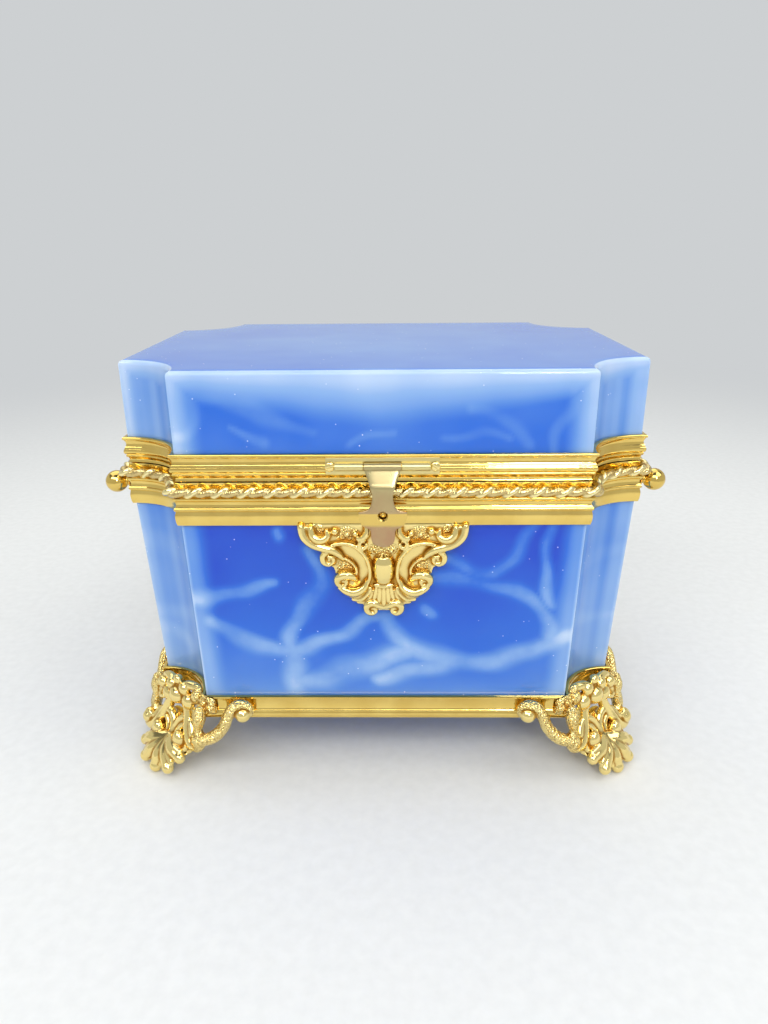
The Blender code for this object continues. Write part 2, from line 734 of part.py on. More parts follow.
def build():
    for old in list(bpy.data.objects):
        bpy.data.objects.remove(old)
    opaline = material("opaline_glass", (0.06, 0.16, 0.72), 0.08, transmission=0.2)
    gilt = material("gilt_brass", (0.78, 0.53, 0.12), 0.16, metallic=1.0)
    cast = material("cast_gilt_brass", (0.80, 0.56, 0.15), 0.22, metallic=1.0)
    rose = material("rose_gilt_brass", (0.74, 0.50, 0.27), 0.28, metallic=1.0)
    plaster = material("plaster", (0.75, 0.72, 0.64), 0.9)

    lid_empty = bpy.data.objects.new("lid_axis", None)
    lid_empty.location = hinge_axis
    hasp_empty = bpy.data.objects.new("hasp_axis", None)
    hasp_empty.location = hasp_axis
    for empty in (lid_empty, hasp_empty):
        bpy.context.scene.collection.objects.link(empty)
    bpy.context.view_layer.update()

    lid_glass = glass_parts(opaline)
    lid_mount = lid_frame(gilt)
    body_mount = body_frame(gilt)
    base_band(gilt)
    outer = -3 * gap
    lid_plaster = bed("lid_cement", mouth, outer, lid_rim - gap - lid_bed, lid_rim - gap, plaster)
    bed("body_cement", mouth, outer, body_rim + gap, body_rim + gap + body_bed, plaster)
    base_level = base_bottom + base_flange + gap
    bed("base_cement", base, outer, base_level, base_level + base_bed, plaster)
    rope(gilt)
    finial("ball_finial_left", -1, body_mount, gilt)
    finial("ball_finial_right", 1, body_mount, gilt)
    catch_stud(body_mount, gilt)
    escutcheon(cast)
    for name, x, y in (("front_left", -1, -1), ("front_right", 1, -1), ("back_left", -1, 1), ("back_right", 1, 1)):
        foot("foot_" + name, x, y, cast)

    spans = knuckle_spans()
    hinge_leaf_part("body_hinge_leaf", spans[0::2], -1, gilt)
    lid_leaf = hinge_leaf_part("lid_hinge_leaf", spans[1::2], 1, gilt)
    hinge_pin(gilt)

    on_lid = [lid_glass, lid_mount, lid_plaster, lid_leaf, *hasp_mount(lid_mount, gilt)]
    strap = hasp(rose)
    for part in on_lid:
        hang(part, lid_empty)
    hang(strap, hasp_empty)
    hasp_empty.location = hasp_axis - hinge_axis
    hasp_empty.parent = lid_empty


build()
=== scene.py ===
import math

import bpy
import numpy as np
from mathutils import Matrix


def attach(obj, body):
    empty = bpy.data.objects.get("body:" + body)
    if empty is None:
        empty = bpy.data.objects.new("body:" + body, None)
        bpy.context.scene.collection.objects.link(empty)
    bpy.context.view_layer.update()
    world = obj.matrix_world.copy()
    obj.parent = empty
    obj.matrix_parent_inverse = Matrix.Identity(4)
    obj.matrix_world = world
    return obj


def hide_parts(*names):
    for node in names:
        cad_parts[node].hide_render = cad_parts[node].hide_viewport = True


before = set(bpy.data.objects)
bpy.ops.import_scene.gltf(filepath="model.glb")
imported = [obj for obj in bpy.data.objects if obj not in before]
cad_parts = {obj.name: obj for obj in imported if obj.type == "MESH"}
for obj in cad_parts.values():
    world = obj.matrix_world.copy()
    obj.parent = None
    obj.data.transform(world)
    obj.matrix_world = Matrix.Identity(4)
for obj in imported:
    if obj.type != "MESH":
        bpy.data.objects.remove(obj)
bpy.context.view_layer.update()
mm = 0.001
print("frame loaded:", len(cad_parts), "nodes")

# The plan of the glass: half width, half depth and the radius of the hollow (cove) at each corner
mouth = (70.0 * mm, 49.4 * mm, 17.5 * mm)
base = (67.1 * mm, 46.5 * mm, 15.5 * mm)
levels = {
    "baseBottom": 18.6 * mm,
    "glassBottom": 20.6 * mm,
    "apronFoot": 79.7 * mm,
    "bodyRim": 86.2 * mm,
    "lidRim": 93.9 * mm,
    "lidTop": 119.5 * mm,
}


# An sRGB hex colour as linear light, by the standard's own curve
def linearColour(code):
    parts = np.array([int(code[i : i + 2], 16) for i in (1, 3, 5)]) / 255
    light = np.where(parts <= 0.04045, parts / 12.92, ((parts + 0.055) / 1.055) ** 2.4)
    return (*light.tolist(), 1.0)


# Sets inputs of a node, each to a value or linked to a socket, or to the first output of another node
def wire(tree, node, inputs):
    for name, value in inputs.items():
        if isinstance(value, bpy.types.Node):
            value = value.outputs[0]
        if isinstance(value, bpy.types.NodeSocket):
            tree.links.new(value, node.inputs[name])
        else:
            node.inputs[name].default_value = value


# Adds one node: its settings, its inputs and, for a ramp, its colour stops
def put(tree, kind, inputs=None, stops=(), **settings):
    made = tree.nodes.new("ShaderNode" + kind)
    for name, value in settings.items():
        setattr(made, name, value)
    wire(tree, made, inputs or {})
    for i, (place, code) in enumerate(stops):
        element = made.color_ramp.elements[i] if i < 2 else made.color_ramp.elements.new(place)
        element.position = place
        element.color = linearColour(code)
    return made


def newFinish(name):
    finish = bpy.data.materials.new(name)
    finish.use_nodes = True
    tree = finish.node_tree
    return finish, tree, tree.nodes["Principled BSDF"]


# Opaline: lead glass clouded with bone ash, blown thick, cut flat and polished. The eye gets a deep, milky blue,
# paler where the light comes in at an edge, with soft lighter veins and a few seeds (bubbles). The paler edges,
# coves and lid top are painted light, carried with the glass's own tone in each piece's `pale` numbers
opalineGlass = {
    "ramp": ((0.0, "#003ec0"), (0.3, "#2366d0"), (0.55, "#5e8fd8"), (0.8, "#8aaee0"), (1.0, "#bdd1ec")),
    "cloud": (1000 / 26.0, 2.0, (-0.05, 0.06)),  # scale and detail of a noise, and what it adds to the tone
    "wisp": (70.0, 4.0, (0.45, 1.2)),  # the same for the veins, which it multiplies
    "veinPale": 0.42,  # how far a vein goes towards the pale end
    "seedSpacing": 3.0,  # mm
    "seedRadius": 0.2,  # mm, drawn a little larger than life so that it shows
    "seedColour": "#dbe7fb",
    "shader": {
        "Roughness": 0.045,
        "IOR": 1.52,
        "Subsurface Weight": 0.12,
        "Subsurface Radius": (0.3, 0.5, 1.0),
        "Subsurface Scale": 3.0 * mm,
    },
}


def makeGlassFinish(look):
    finish, tree, shader = newFinish("opaline_glass_polished")
    place = put(tree, "TexCoord").outputs["Object"]
    # `pale` holds the glass's tone with painted light and shade in it; `vein` is the glass's own veining
    pale, vein = (put(tree, "Attribute", attribute_name=name).outputs["Fac"] for name in ("pale", "vein"))
    tones = []
    for scale, detail, (low, high) in (look["cloud"], look["wisp"]):
        noise = put(tree, "TexNoise", {"Vector": place, "Scale": scale, "Detail": detail})
        span = {"Value": noise, "From Min": 0.3, "From Max": 0.7, "To Min": low, "To Max": high}
        tones.append(put(tree, "MapRange", span))
    veinShare = put(tree, "Math", {0: vein, 1: tones[1]}, operation="MULTIPLY")
    veinLift = put(tree, "Math", {0: veinShare, 1: look["veinPale"]}, operation="MULTIPLY")
    total = put(tree, "Math", {0: pale, 1: veinLift}, operation="ADD")
    total = put(tree, "Math", {0: total, 1: tones[0]}, operation="ADD", use_clamp=True)
    colour = put(tree, "ValToRGB", {"Fac": total}, stops=look["ramp"])
    seedScale = 1000 / look["seedSpacing"]
    seeds = put(tree, "TexVoronoi", {"Vector": place, "Scale": seedScale, "Randomness": 1.0})
    edge = look["seedRadius"] * mm * seedScale
    dots = put(tree, "MapRange", {"Value": seeds, "From Min": edge, "From Max": 0.4 * edge})
    seeded = put(tree, "Mix", {0: dots, 6: colour, 7: linearColour(look["seedColour"])}, data_type="RGBA")
    sway = put(tree, "TexNoise", {"Vector": place, "Scale": 45.0, "Detail": 1.0})
    bump = put(tree, "Bump", {"Height": sway, "Strength": 0.05, "Distance": 1.0 * mm})
    wire(tree, shader, {"Base Color": seeded.outputs[2], "Normal": bump, **look["shader"]})
    return finish


# What every gilt finish ends with: the look's light gold, its warm one over that by a share, then gilding that is
# kept whole where the look has such a place, on a bare metal shader
def gild(tree, shader, look, share, rough, surface, kept=None):
    colour = linearColour(look["light"])
    for tone, amount in (("warm", share), ("kept", kept)):
        if tone in look:
            mixed = put(tree, "Mix", {0: amount, 6: colour, 7: linearColour(look[tone])}, data_type="RGBA")
            colour = mixed.outputs[2]
    wire(tree, shader, {"Base Color": colour, "Roughness": rough, "Metallic": 1.0, "Normal": surface})


# Gilt brass mouldings: drawn strip, polished and fire gilt. Bright warm yellow, faint lines along its length
drawnGilt = {"light": "#efd077", "warm": "#cfa648", "roughness": (0.07, 0.13), "lineSpacing": 0.25, "lineLength": 30.0}
# Cast and chased gilt brass: softer polish than the strip, rougher in its hollows, which are painted a darker warm
# gold as shade, as are the punched pits of the matting
castGilt = {"light": "#f8e094", "warm": "#b27f2c", "roughness": (0.12, 0.34), "grain": 0.55}
# The hasp's mount: the same casting brass, scratch-brushed to a satin that spreads each highlight
satinGilt = {"light": "#e3d291", "warm": "#a87626", "roughness": (0.3, 0.4), "grain": 0.6}
# The hasp's gilding is worn: paler, greyer gold and a pinker metal on the tongue, satin from handling. Below the
# ridge, where the stud keeps fingers off, the gilding is whole and polished
wornGilt = {
    "light": "#bfb180",
    "warm": "#bd9672",
    "kept": "#e2c26c",
    "roughness": (0.26, 0.4),
    "polish": 0.12,
    "brush": 0.2,  # mm between brush lines
    "wearFrom": 91 * mm,  # height from which it grows pinker, down to the kept zone
    "keptZone": (80.4 * mm, 84.4 * mm),
}
# Twisted wire moulding: one polished strand and one knurled by a wheel, which scatters light in sparks. The pitch
# of the knurling, in mm, is drawn coarser so that it shows. The knurled strand and the groove between the strands
# are painted a darker warm gold, as shade
ropeGilt = {"light": "#fcebaa", "warm": "#a4752a", "roughness": (0.08, 0.2), "knurl": 0.85}


def makeDrawnGilt(name, look):
    finish, tree, shader = newFinish(name)
    stretch = (1000 / look["lineLength"], 1000 / look["lineSpacing"], 1.0)
    lines = put(tree, "Mapping", {"Vector": put(tree, "UVMap"), "Scale": stretch})
    draw = put(tree, "TexNoise", {"Vector": lines, "Scale": 1.0, "Detail": 2.0}, noise_dimensions="2D")
    place = put(tree, "TexCoord").outputs["Object"]
    blotch = put(tree, "TexNoise", {"Vector": place, "Scale": 140.0, "Detail": 3.0})
    tint = put(tree, "MapRange", {"Value": blotch, "From Min": 0.35, "From Max": 0.7, "To Max": 0.4})
    low, high = look["roughness"]
    rough = put(tree, "MapRange", {"Value": blotch, "From Min": 0.3, "From Max": 0.7, "To Min": low, "To Max": high})
    lined = put(tree, "Bump", {"Height": draw, "Strength": 0.12, "Distance": 0.05 * mm})
    dent = put(tree, "TexNoise", {"Vector": place, "Scale": 260.0, "Detail": 1.0})
    dented = put(tree, "Bump", {"Height": dent, "Strength": 0.18, "Distance": 0.3 * mm, "Normal": lined})
    gild(tree, shader, look, tint, rough, dented)
    return finish


def makeCastGilt(name, look):
    finish, tree, shader = newFinish(name)
    place = put(tree, "TexCoord").outputs["Object"]
    # Painted shade: the darker warm gold goes where a point lies deep in a hollow and into the pits of the matting
    hollow, matting = (put(tree, "Attribute", attribute_name=kind).outputs["Fac"] for kind in ("hollow", "matting"))
    pits = put(tree, "TexVoronoi", {"Vector": place, "Scale": 1000 / look["grain"]})
    pitShade = put(tree, "MapRange", {"Value": pits, "From Min": 0.45, "From Max": 0.15})
    inPits = put(tree, "Math", {0: pitShade, 1: matting}, operation="MULTIPLY")
    deep = put(tree, "Math", {0: inPits, 1: hollow}, operation="MAXIMUM")
    low, high = look["roughness"]
    rough = put(tree, "MapRange", {"Value": hollow, "To Min": low, "To Max": high})
    skin = put(tree, "TexNoise", {"Vector": place, "Scale": 900.0, "Detail": 3.0})
    grained = put(tree, "Bump", {"Height": skin, "Strength": 0.16, "Distance": 0.12 * mm})
    punched = put(tree, "Math", {0: pits, 1: matting}, operation="MULTIPLY")
    stipple = put(tree, "Bump", {"Height": punched, "Strength": 1.0, "Distance": 0.32 * mm, "Normal": grained})
    gild(tree, shader, look, deep, rough, stipple)
    return finish


def makeWornGilt(name, look):
    finish, tree, shader = newFinish(name)
    place = put(tree, "TexCoord").outputs["Object"]
    worn = put(tree, "TexNoise", {"Vector": place, "Scale": 210.0, "Detail": 4.0})
    height = put(tree, "SeparateXYZ", {"Vector": place}).outputs["Z"]
    bottom, top = look["keptZone"]
    fades = ((look["wearFrom"], bottom, 0.7), (bottom, bottom + 0.9 * mm, 1.0), (top, top - 0.3 * mm, 1.0))
    lower, above, below = (
        put(tree, "MapRange", {"Value": height, "From Min": start, "From Max": end, "To Max": most})
        for start, end, most in fades
    )
    spots = put(tree, "MapRange", {"Value": worn, "From Min": 0.35, "From Max": 0.65, "To Max": 0.3})
    share = put(tree, "Math", {0: lower, 1: spots}, operation="ADD", use_clamp=True)
    kept = put(tree, "Math", {0: above, 1: below}, operation="MULTIPLY")
    low, high = look["roughness"]
    rough = put(tree, "MapRange", {"Value": worn, "From Min": 0.3, "From Max": 0.7, "To Min": low, "To Max": high})
    polished = put(tree, "Mix", {0: kept, 2: rough, 3: look["polish"]}, data_type="FLOAT")
    along = put(tree, "Mapping", {"Vector": place, "Scale": (1000 / look["brush"], 60.0, 60.0)})
    brushed = put(tree, "TexNoise", {"Vector": along, "Scale": 1.0, "Detail": 1.0})
    bump = put(tree, "Bump", {"Height": brushed, "Strength": 0.15, "Distance": 0.04 * mm})
    gild(tree, shader, look, share, polished, bump, kept)
    return finish


def makeRopeGilt(name, look):
    finish, tree, shader = newFinish(name)
    # Painted shade: darker warm gold in the groove between the strands and on the knurled strand
    knurled, grooveShade = (put(tree, "Attribute", attribute_name=kind).outputs["Fac"] for kind in ("knurled", "hollow"))
    knurlShade = put(tree, "MapRange", {"Value": knurled, "To Max": 0.45})
    deep = put(tree, "Math", {0: grooveShade, 1: knurlShade}, operation="MAXIMUM")
    low, high = look["roughness"]
    rough = put(tree, "MapRange", {"Value": knurled, "To Min": low, "To Max": high})
    pitch = 1000 / look["knurl"]
    slant = {"Vector": put(tree, "UVMap"), "Scale": (pitch, pitch, 1.0), "Rotation": (0.0, 0.0, 0.6)}
    teeth = put(tree, "Mapping", slant)
    pips = put(tree, "TexVoronoi", {"Vector": teeth, "Scale": 1.0, "Randomness": 0.35}, voronoi_dimensions="2D")
    height = put(tree, "Math", {0: pips, 1: knurled}, operation="MULTIPLY")
    bump = put(tree, "Bump", {"Height": height, "Strength": 1.0, "Distance": 0.13 * mm})
    gild(tree, shader, look, deep, rough, bump)
    return finish


# Plaster of Paris that beds the glass: chalky, off-white, no gloss
def makePlaster():
    finish, tree, shader = newFinish("plaster_bed")
    place = put(tree, "TexCoord").outputs["Object"]
    grain = put(tree, "TexNoise", {"Vector": place, "Scale": 900.0, "Detail": 4.0})
    colour = put(tree, "ValToRGB", {"Fac": grain}, stops=((0.3, "#cfc9bb"), (0.7, "#e6e1d4")))
    bump = put(tree, "Bump", {"Height": grain, "Strength": 0.3, "Distance": 0.1 * mm})
    wire(tree, shader, {"Base Color": colour, "Roughness": 0.92, "Normal": bump})
    return finish


glassFinish = makeGlassFinish(opalineGlass)
stripFinish = makeDrawnGilt("drawn_gilt_brass", drawnGilt)
castFinish = makeCastGilt("cast_gilt_brass", castGilt)
mountFinish = makeCastGilt("satin_gilt_brass", satinGilt)
haspFinish = makeWornGilt("worn_gilt_brass", wornGilt)
ropeFinish = makeRopeGilt("twisted_gilt_wire", ropeGilt)
plasterFinish = makePlaster()
print("finishes made")


# Turns a closed shape's faces round if they point inwards: its signed volume is the sum over its triangles of
# a . (b x c) / 6
def outward(points, faces):
    triangles = np.array([(face[0], face[i], face[i + 1]) for face in faces for i in range(1, len(face) - 1)])
    a, b, c = (np.asarray(points)[triangles[:, i]] for i in range(3))
    volume = (a * np.cross(b, c)).sum() / 6
    return [tuple(face)[::-1] for face in faces] if volume < 0 else faces


def newMesh(name, points, faces):
    mesh = bpy.data.meshes.new(name)
    mesh.from_pydata(np.asarray(points, float).tolist(), [], [tuple(face) for face in faces])
    return mesh


def addObject(name, data):
    made = bpy.data.objects.new(name, data)
    bpy.context.scene.collection.objects.link(made)
    return made


def shade(mesh, crease):
    mesh.shade_smooth()
    mesh.set_sharp_from_angle(angle=math.radians(crease))


# Numbers of a mesh's vertices, edges or loops as an array, one row for each
def readArray(items, label, width, kind=float):
    values = np.empty(len(items) * width, dtype=kind)
    items.foreach_get(label, values)
    return values.reshape(-1, width)


# A piece from arrays, with an optional UV for every vertex and named numbers for every vertex
def addPiece(name, points, faces, finish, body, replaced, uv=None, numbers=None, crease=40):
    mesh = newMesh(name, points, outward(points, faces))
    if uv is not None:
        corners = readArray(mesh.loops, "vertex_index", 1, np.int32)[:, 0]
        layer = mesh.uv_layers.new(name="UVMap")
        layer.data.foreach_set("uv", np.asarray(uv)[corners].astype(np.float32).ravel())
    for label, values in (numbers or {}).items():
        field = mesh.attributes.new(label, "FLOAT", "POINT")
        field.data.foreach_set("value", np.asarray(values, dtype=np.float32).ravel())
    mesh.validate()
    shade(mesh, crease)
    mesh.materials.append(finish)
    piece = addObject(name, mesh)
    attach(piece, body)
    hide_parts(*replaced)
    return piece


# Quads of a grid of rows by columns, joined round where asked
def gridFaces(rows, columns, roundRows=False, roundColumns=True):
    r = np.arange(rows if roundRows else rows - 1)[:, None]
    c = np.arange(columns if roundColumns else columns - 1)[None, :]
    r2, c2 = (r + 1) % rows, (c + 1) % columns
    quads = np.stack([r * columns + c, r * columns + c2, r2 * columns + c2, r2 * columns + c], axis=-1)
    return quads.reshape(-1, 4)


# A grid closed at both ends by a fan to one point each: rows of rings between two poles
def polarFaces(rows, columns):
    c = np.arange(columns)
    first, last = rows * columns, rows * columns + 1
    top = (rows - 1) * columns
    start = np.stack([np.full(columns, first), (c + 1) % columns, c], axis=-1)
    end = np.stack([np.full(columns, last), top + c, top + (c + 1) % columns], axis=-1)
    return [*gridFaces(rows, columns).tolist(), *start.tolist(), *end.tolist()]


# The coved plan, anticlockwise from the front left, for arrays of half width, half depth, radius and offset.
# Each cove is an arc about the corner of the section, its radius less by the offset; sides are straight between.
# Also gives, for each column, the distance to the nearest end of its arc or side, whether it is on an arc, and
# how far along its arc or side it lies, from 0 to 1
def planRows(width, depth, radius, offset, arcSteps, sideSteps):
    given = (width, depth, radius, offset)
    width, depth, radius, offset = (np.atleast_1d(np.asarray(values, float))[:, None] for values in given)
    arc = radius - offset
    lean = np.arcsin(np.clip(offset / arc, -1, 1))
    share = np.linspace(0, 1, arcSteps + 1)[None, :]
    quarterTurn = math.pi / 2
    arcs = []
    for quarter, (x, y) in enumerate(((-1, -1), (1, -1), (1, 1), (-1, 1))):
        angle = quarterTurn * (1 + quarter) + lean - (quarterTurn + 2 * lean) * share
        arcs.append((x * width + arc * np.cos(angle), y * depth + arc * np.sin(angle)))
    arcLength = quarterTurn * float(radius[0, 0])
    xs, ys, near, onArc, where = [], [], [], [], []
    for quarter in range(4):
        ax, ay = arcs[quarter]
        bx, by = arcs[(quarter + 1) % 4]
        steps = sideSteps[quarter % 2]
        t = np.linspace(0, 1, steps + 1)[None, 1:-1]
        xs += [ax, ax[:, -1:] * (1 - t) + bx[:, :1] * t]
        ys += [ay, ay[:, -1:] * (1 - t) + by[:, :1] * t]
        sideLength = math.hypot(float(bx[0, 0] - ax[0, -1]), float(by[0, 0] - ay[0, -1]))
        near += [np.minimum(share[0], 1 - share[0]) * arcLength, np.minimum(t[0], 1 - t[0]) * sideLength]
        onArc += [np.ones(arcSteps + 1), np.zeros(steps - 1)]
        where += [share[0], t[0]]
    return np.hstack(xs), np.hstack(ys), np.concatenate(near), np.concatenate(onArc), np.concatenate(where)


# Smooth curve through points: a cubic between each pair, its slopes taken from the neighbours (Catmull-Rom)
def flow(points, count):
    p = np.asarray(points, float)
    p = np.vstack([2 * p[0] - p[1], p, 2 * p[-1] - p[-2]])
    t = np.linspace(0, len(points) - 1, count)
    i = np.minimum(t.astype(int), len(points) - 2)
    u = (t - i)[:, None]
    a, b, c, d = p[i], p[i + 1], p[i + 2], p[i + 3]
    return 0.5 * (2 * b + (c - a) * u + (2 * a - 5 * b + 4 * c - d) * u**2 + (3 * b - a - 3 * c + d) * u**3)


# Distance from each point of a plane to a smooth line: the least over its segments of the distance to the nearest
# point of the segment, as a share of the half width there. A vein is full within its core and fades out beyond
def veinAt(across, up, line):
    core, fade = 0.2, 1.9
    line = flow(line, 4 * len(line)) if len(line) > 2 else np.asarray(line, float)
    p = np.stack([across.ravel(), up.ravel()], axis=-1)[:, None, :]
    a, b = line[None, :-1, :2], line[None, 1:, :2]
    t = np.clip(((p - a) * (b - a)).sum(-1) / ((b - a) ** 2).sum(-1), 0, 1)
    reach = np.linalg.norm(p - (a + t[..., None] * (b - a)), axis=-1)
    half = line[None, :-1, 2] * (1 - t) + line[None, 1:, 2] * t
    depth = 1 - np.clip((reach / half - core) / fade, 0, 1)
    return (depth * depth * (3 - 2 * depth)).max(axis=1).reshape(across.shape)


# Veins in the glass as (across, up, half width) in mm, seen from the front
bodyVeins = [
    [(-53, 58.4, 1.7), (-46, 58.0, 1.8), (-40, 59.6, 1.7), (-35, 61.3, 1.5), (-29, 62.0, 1.1)],
    [(-48, 50.8, 1.5), (-44, 48.0, 1.6), (-40, 45.0, 1.7), (-35, 42.3, 1.8), (-30, 41.0, 1.9), (-26, 40.6, 2.0)],
    [(-26, 40.6, 2.0), (-26.4, 44, 1.9), (-25, 49, 1.8), (-22, 54, 2.0), (-18.4, 59, 2.2), (-17, 64, 1.8),
     (-19.5, 72, 1.3)],
    [(-26, 41.0, 1.8), (-20, 42.6, 1.8), (-14, 45.2, 1.7), (-9, 48.2, 1.6), (-4, 51, 1.5), (1, 52.4, 1.5)],
    [(-26, 40.0, 2.3), (-25.4, 35, 2.4), (-25.0, 29, 2.6)],
    [(-25, 29.5, 2.2), (-15, 32.5, 2.8), (-6, 35.8, 3.0), (2, 38.8, 2.6), (8, 41.6, 2.0)],
    [(0, 52.4, 1.5), (2.6, 48, 2.0), (5, 44, 2.4), (9, 41, 2.5), (15, 38.6, 2.3), (22, 37, 2.2), (30, 37.4, 2.4),
     (38, 39.6, 2.2), (45, 43, 2.0), (52, 45.6, 1.8)],
    [(-2, 31.5, 1.8), (8, 34, 2.2), (16, 36.4, 2.2), (25, 37.2, 2.0)],
    [(13, 64.4, 1.5), (20, 63.2, 1.9), (26, 62, 1.7), (33, 61, 1.6), (38, 58.6, 1.6), (42, 55, 1.5),
     (44.6, 50, 1.5), (46, 45, 1.4)],
    [(15, 70.5, 1.2), (20, 68, 1.8), (24, 65.6, 1.8), (29, 65.6, 1.6), (33, 68, 1.5), (35.6, 72, 1.4),
     (37.6, 77, 1.3), (39, 80, 1.3)],
    [(43.6, 80, 1.0), (43, 72, 1.2), (43, 65, 1.3), (44, 60, 1.4), (45.4, 55, 1.3)],
    [(11.4, 53.6, 1.6), (12.6, 52.6, 1.6)],
    [(-27.4, 78, 1.0), (-26.8, 76.4, 1.2)],
]
lidVeins = [
    [(-53, 103, 1.0), (-48, 104.4, 1.1), (-46.6, 108, 1.0), (-46, 112, 1.2)],
    [(-46, 112, 1.2), (-40, 112.6, 1.3), (-33, 110.8, 1.5), (-28, 107.6, 1.5), (-22, 105.4, 1.2), (-17, 104.6, 0.8)],
    [(-38, 105.4, 0.7), (-34, 103.6, 1.0), (-30, 102.2, 1.1)],
    [(22, 109.4, 0.9), (28, 108.6, 1.2), (33, 105.8, 1.4), (36, 101.6, 1.3)],
    [(16, 102.6, 0.8), (24, 103.8, 0.9), (31, 102.4, 0.8)],
    [(42.6, 99, 1.0), (43.6, 105, 1.1), (46.4, 111, 1.0), (47, 115, 0.9)],
    [(-8, 101.2, 0.7), (-3, 103.6, 0.8), (3, 104.6, 0.7)],
]


def smooth(value, start, end):  # 0 before start, 1 after end, an S curve between
    t = np.clip((value - start) / (end - start), 0, 1)
    return t * t * (3 - 2 * t)


# Veins are drawn on the front as they are listed, and mirrored, stretched and shifted on the other three faces, where
# they are fainter. A slow waver of two crossed sines bends them, as hot glass flows
def veinField(x, y, z, lines, lift):
    onFront = np.abs(y) / mouth[1] >= np.abs(x) / mouth[0]
    facing = (y < 0) & onFront
    onBack = -0.94 * x + 2 * mm
    onSide = np.where(x < 0, -1.25 * y - 8 * mm, 1.2 * y + 9 * mm)
    across = np.where(onFront, np.where(y < 0, x, onBack), onSide) / mm
    up = np.where(facing, z, 2 * lift - z + 2 * mm) / mm
    waver = 0.6  # mm
    sway = across + waver * np.sin(0.42 * up + 0.2 * across)
    rise = up + waver * np.sin(0.37 * across + 0.25 * up)
    return np.where(facing, 1.0, 0.7) * np.max([veinAt(sway, rise, line) for line in lines], axis=0)


# Painted light: faint upright streaks in the coves, where the hollow grinding gathers the light: two sines across the
# arc
def coveStreaks(where):
    return 0.05 * np.sin(21 * where + 0.8) + 0.04 * np.sin(38 * where)


# Closes a skin of rings: its first and last rings are shrunk to the centre in steps, with a point there. Gives the
# rings' x, y and z, how far each is shrunk (1 on the walls), and all the points
def closeRings(x, y, z, steps):
    shrink = np.linspace(1, 0, steps + 2)[1:-1]
    scale = np.concatenate([shrink[::-1], np.ones(len(z)), shrink])[:, None]
    ring = np.clip(np.arange(len(scale)) - steps, 0, len(z) - 1)
    xs, ys = x[ring] * scale, y[ring] * scale
    zs = z[ring][:, None] + 0 * xs
    points = np.stack([xs, ys, zs], axis=-1).reshape(-1, 3)
    return xs, ys, zs, scale, np.vstack([points, [(0, 0, z[0]), (0, 0, z[-1])]])


bodyGlass = {
    "wall": 6.5 * mm,
    "floor": 8.0 * mm,
    "edge": 1.4 * mm,  # radius of the foot's edge, outside and in
    "lip": 0.4 * mm,  # bevel of the rim
    "arcSteps": 24,
    "sideSteps": (130, 80),
    "rowPitch": 0.8 * mm,
    "innerRows": 12,
    "floorSteps": 7,
    "floorPale": 0.3,  # tones run from 0, the deepest blue, to 1, the palest
    # edgePale, arrisPale and covePale are painted light; apronShade is painted shadow
    "edgePale": 0.54,
    "arrisPale": 0.16,
    "wallPale": 0.03,  # added all over the walls
    "covePale": (0.54, 0.18),  # in the middle of the hollow, and what its ends add
    "footPale": ((0.36, 24 * mm, 78 * mm), (0.2, 20 * mm, 34 * mm)),  # added below, fading out between two heights
    # painted shadow under the apron moulding: tone lost, from, to
    "apronShade": (0.06, 74 * mm, 80 * mm),
}


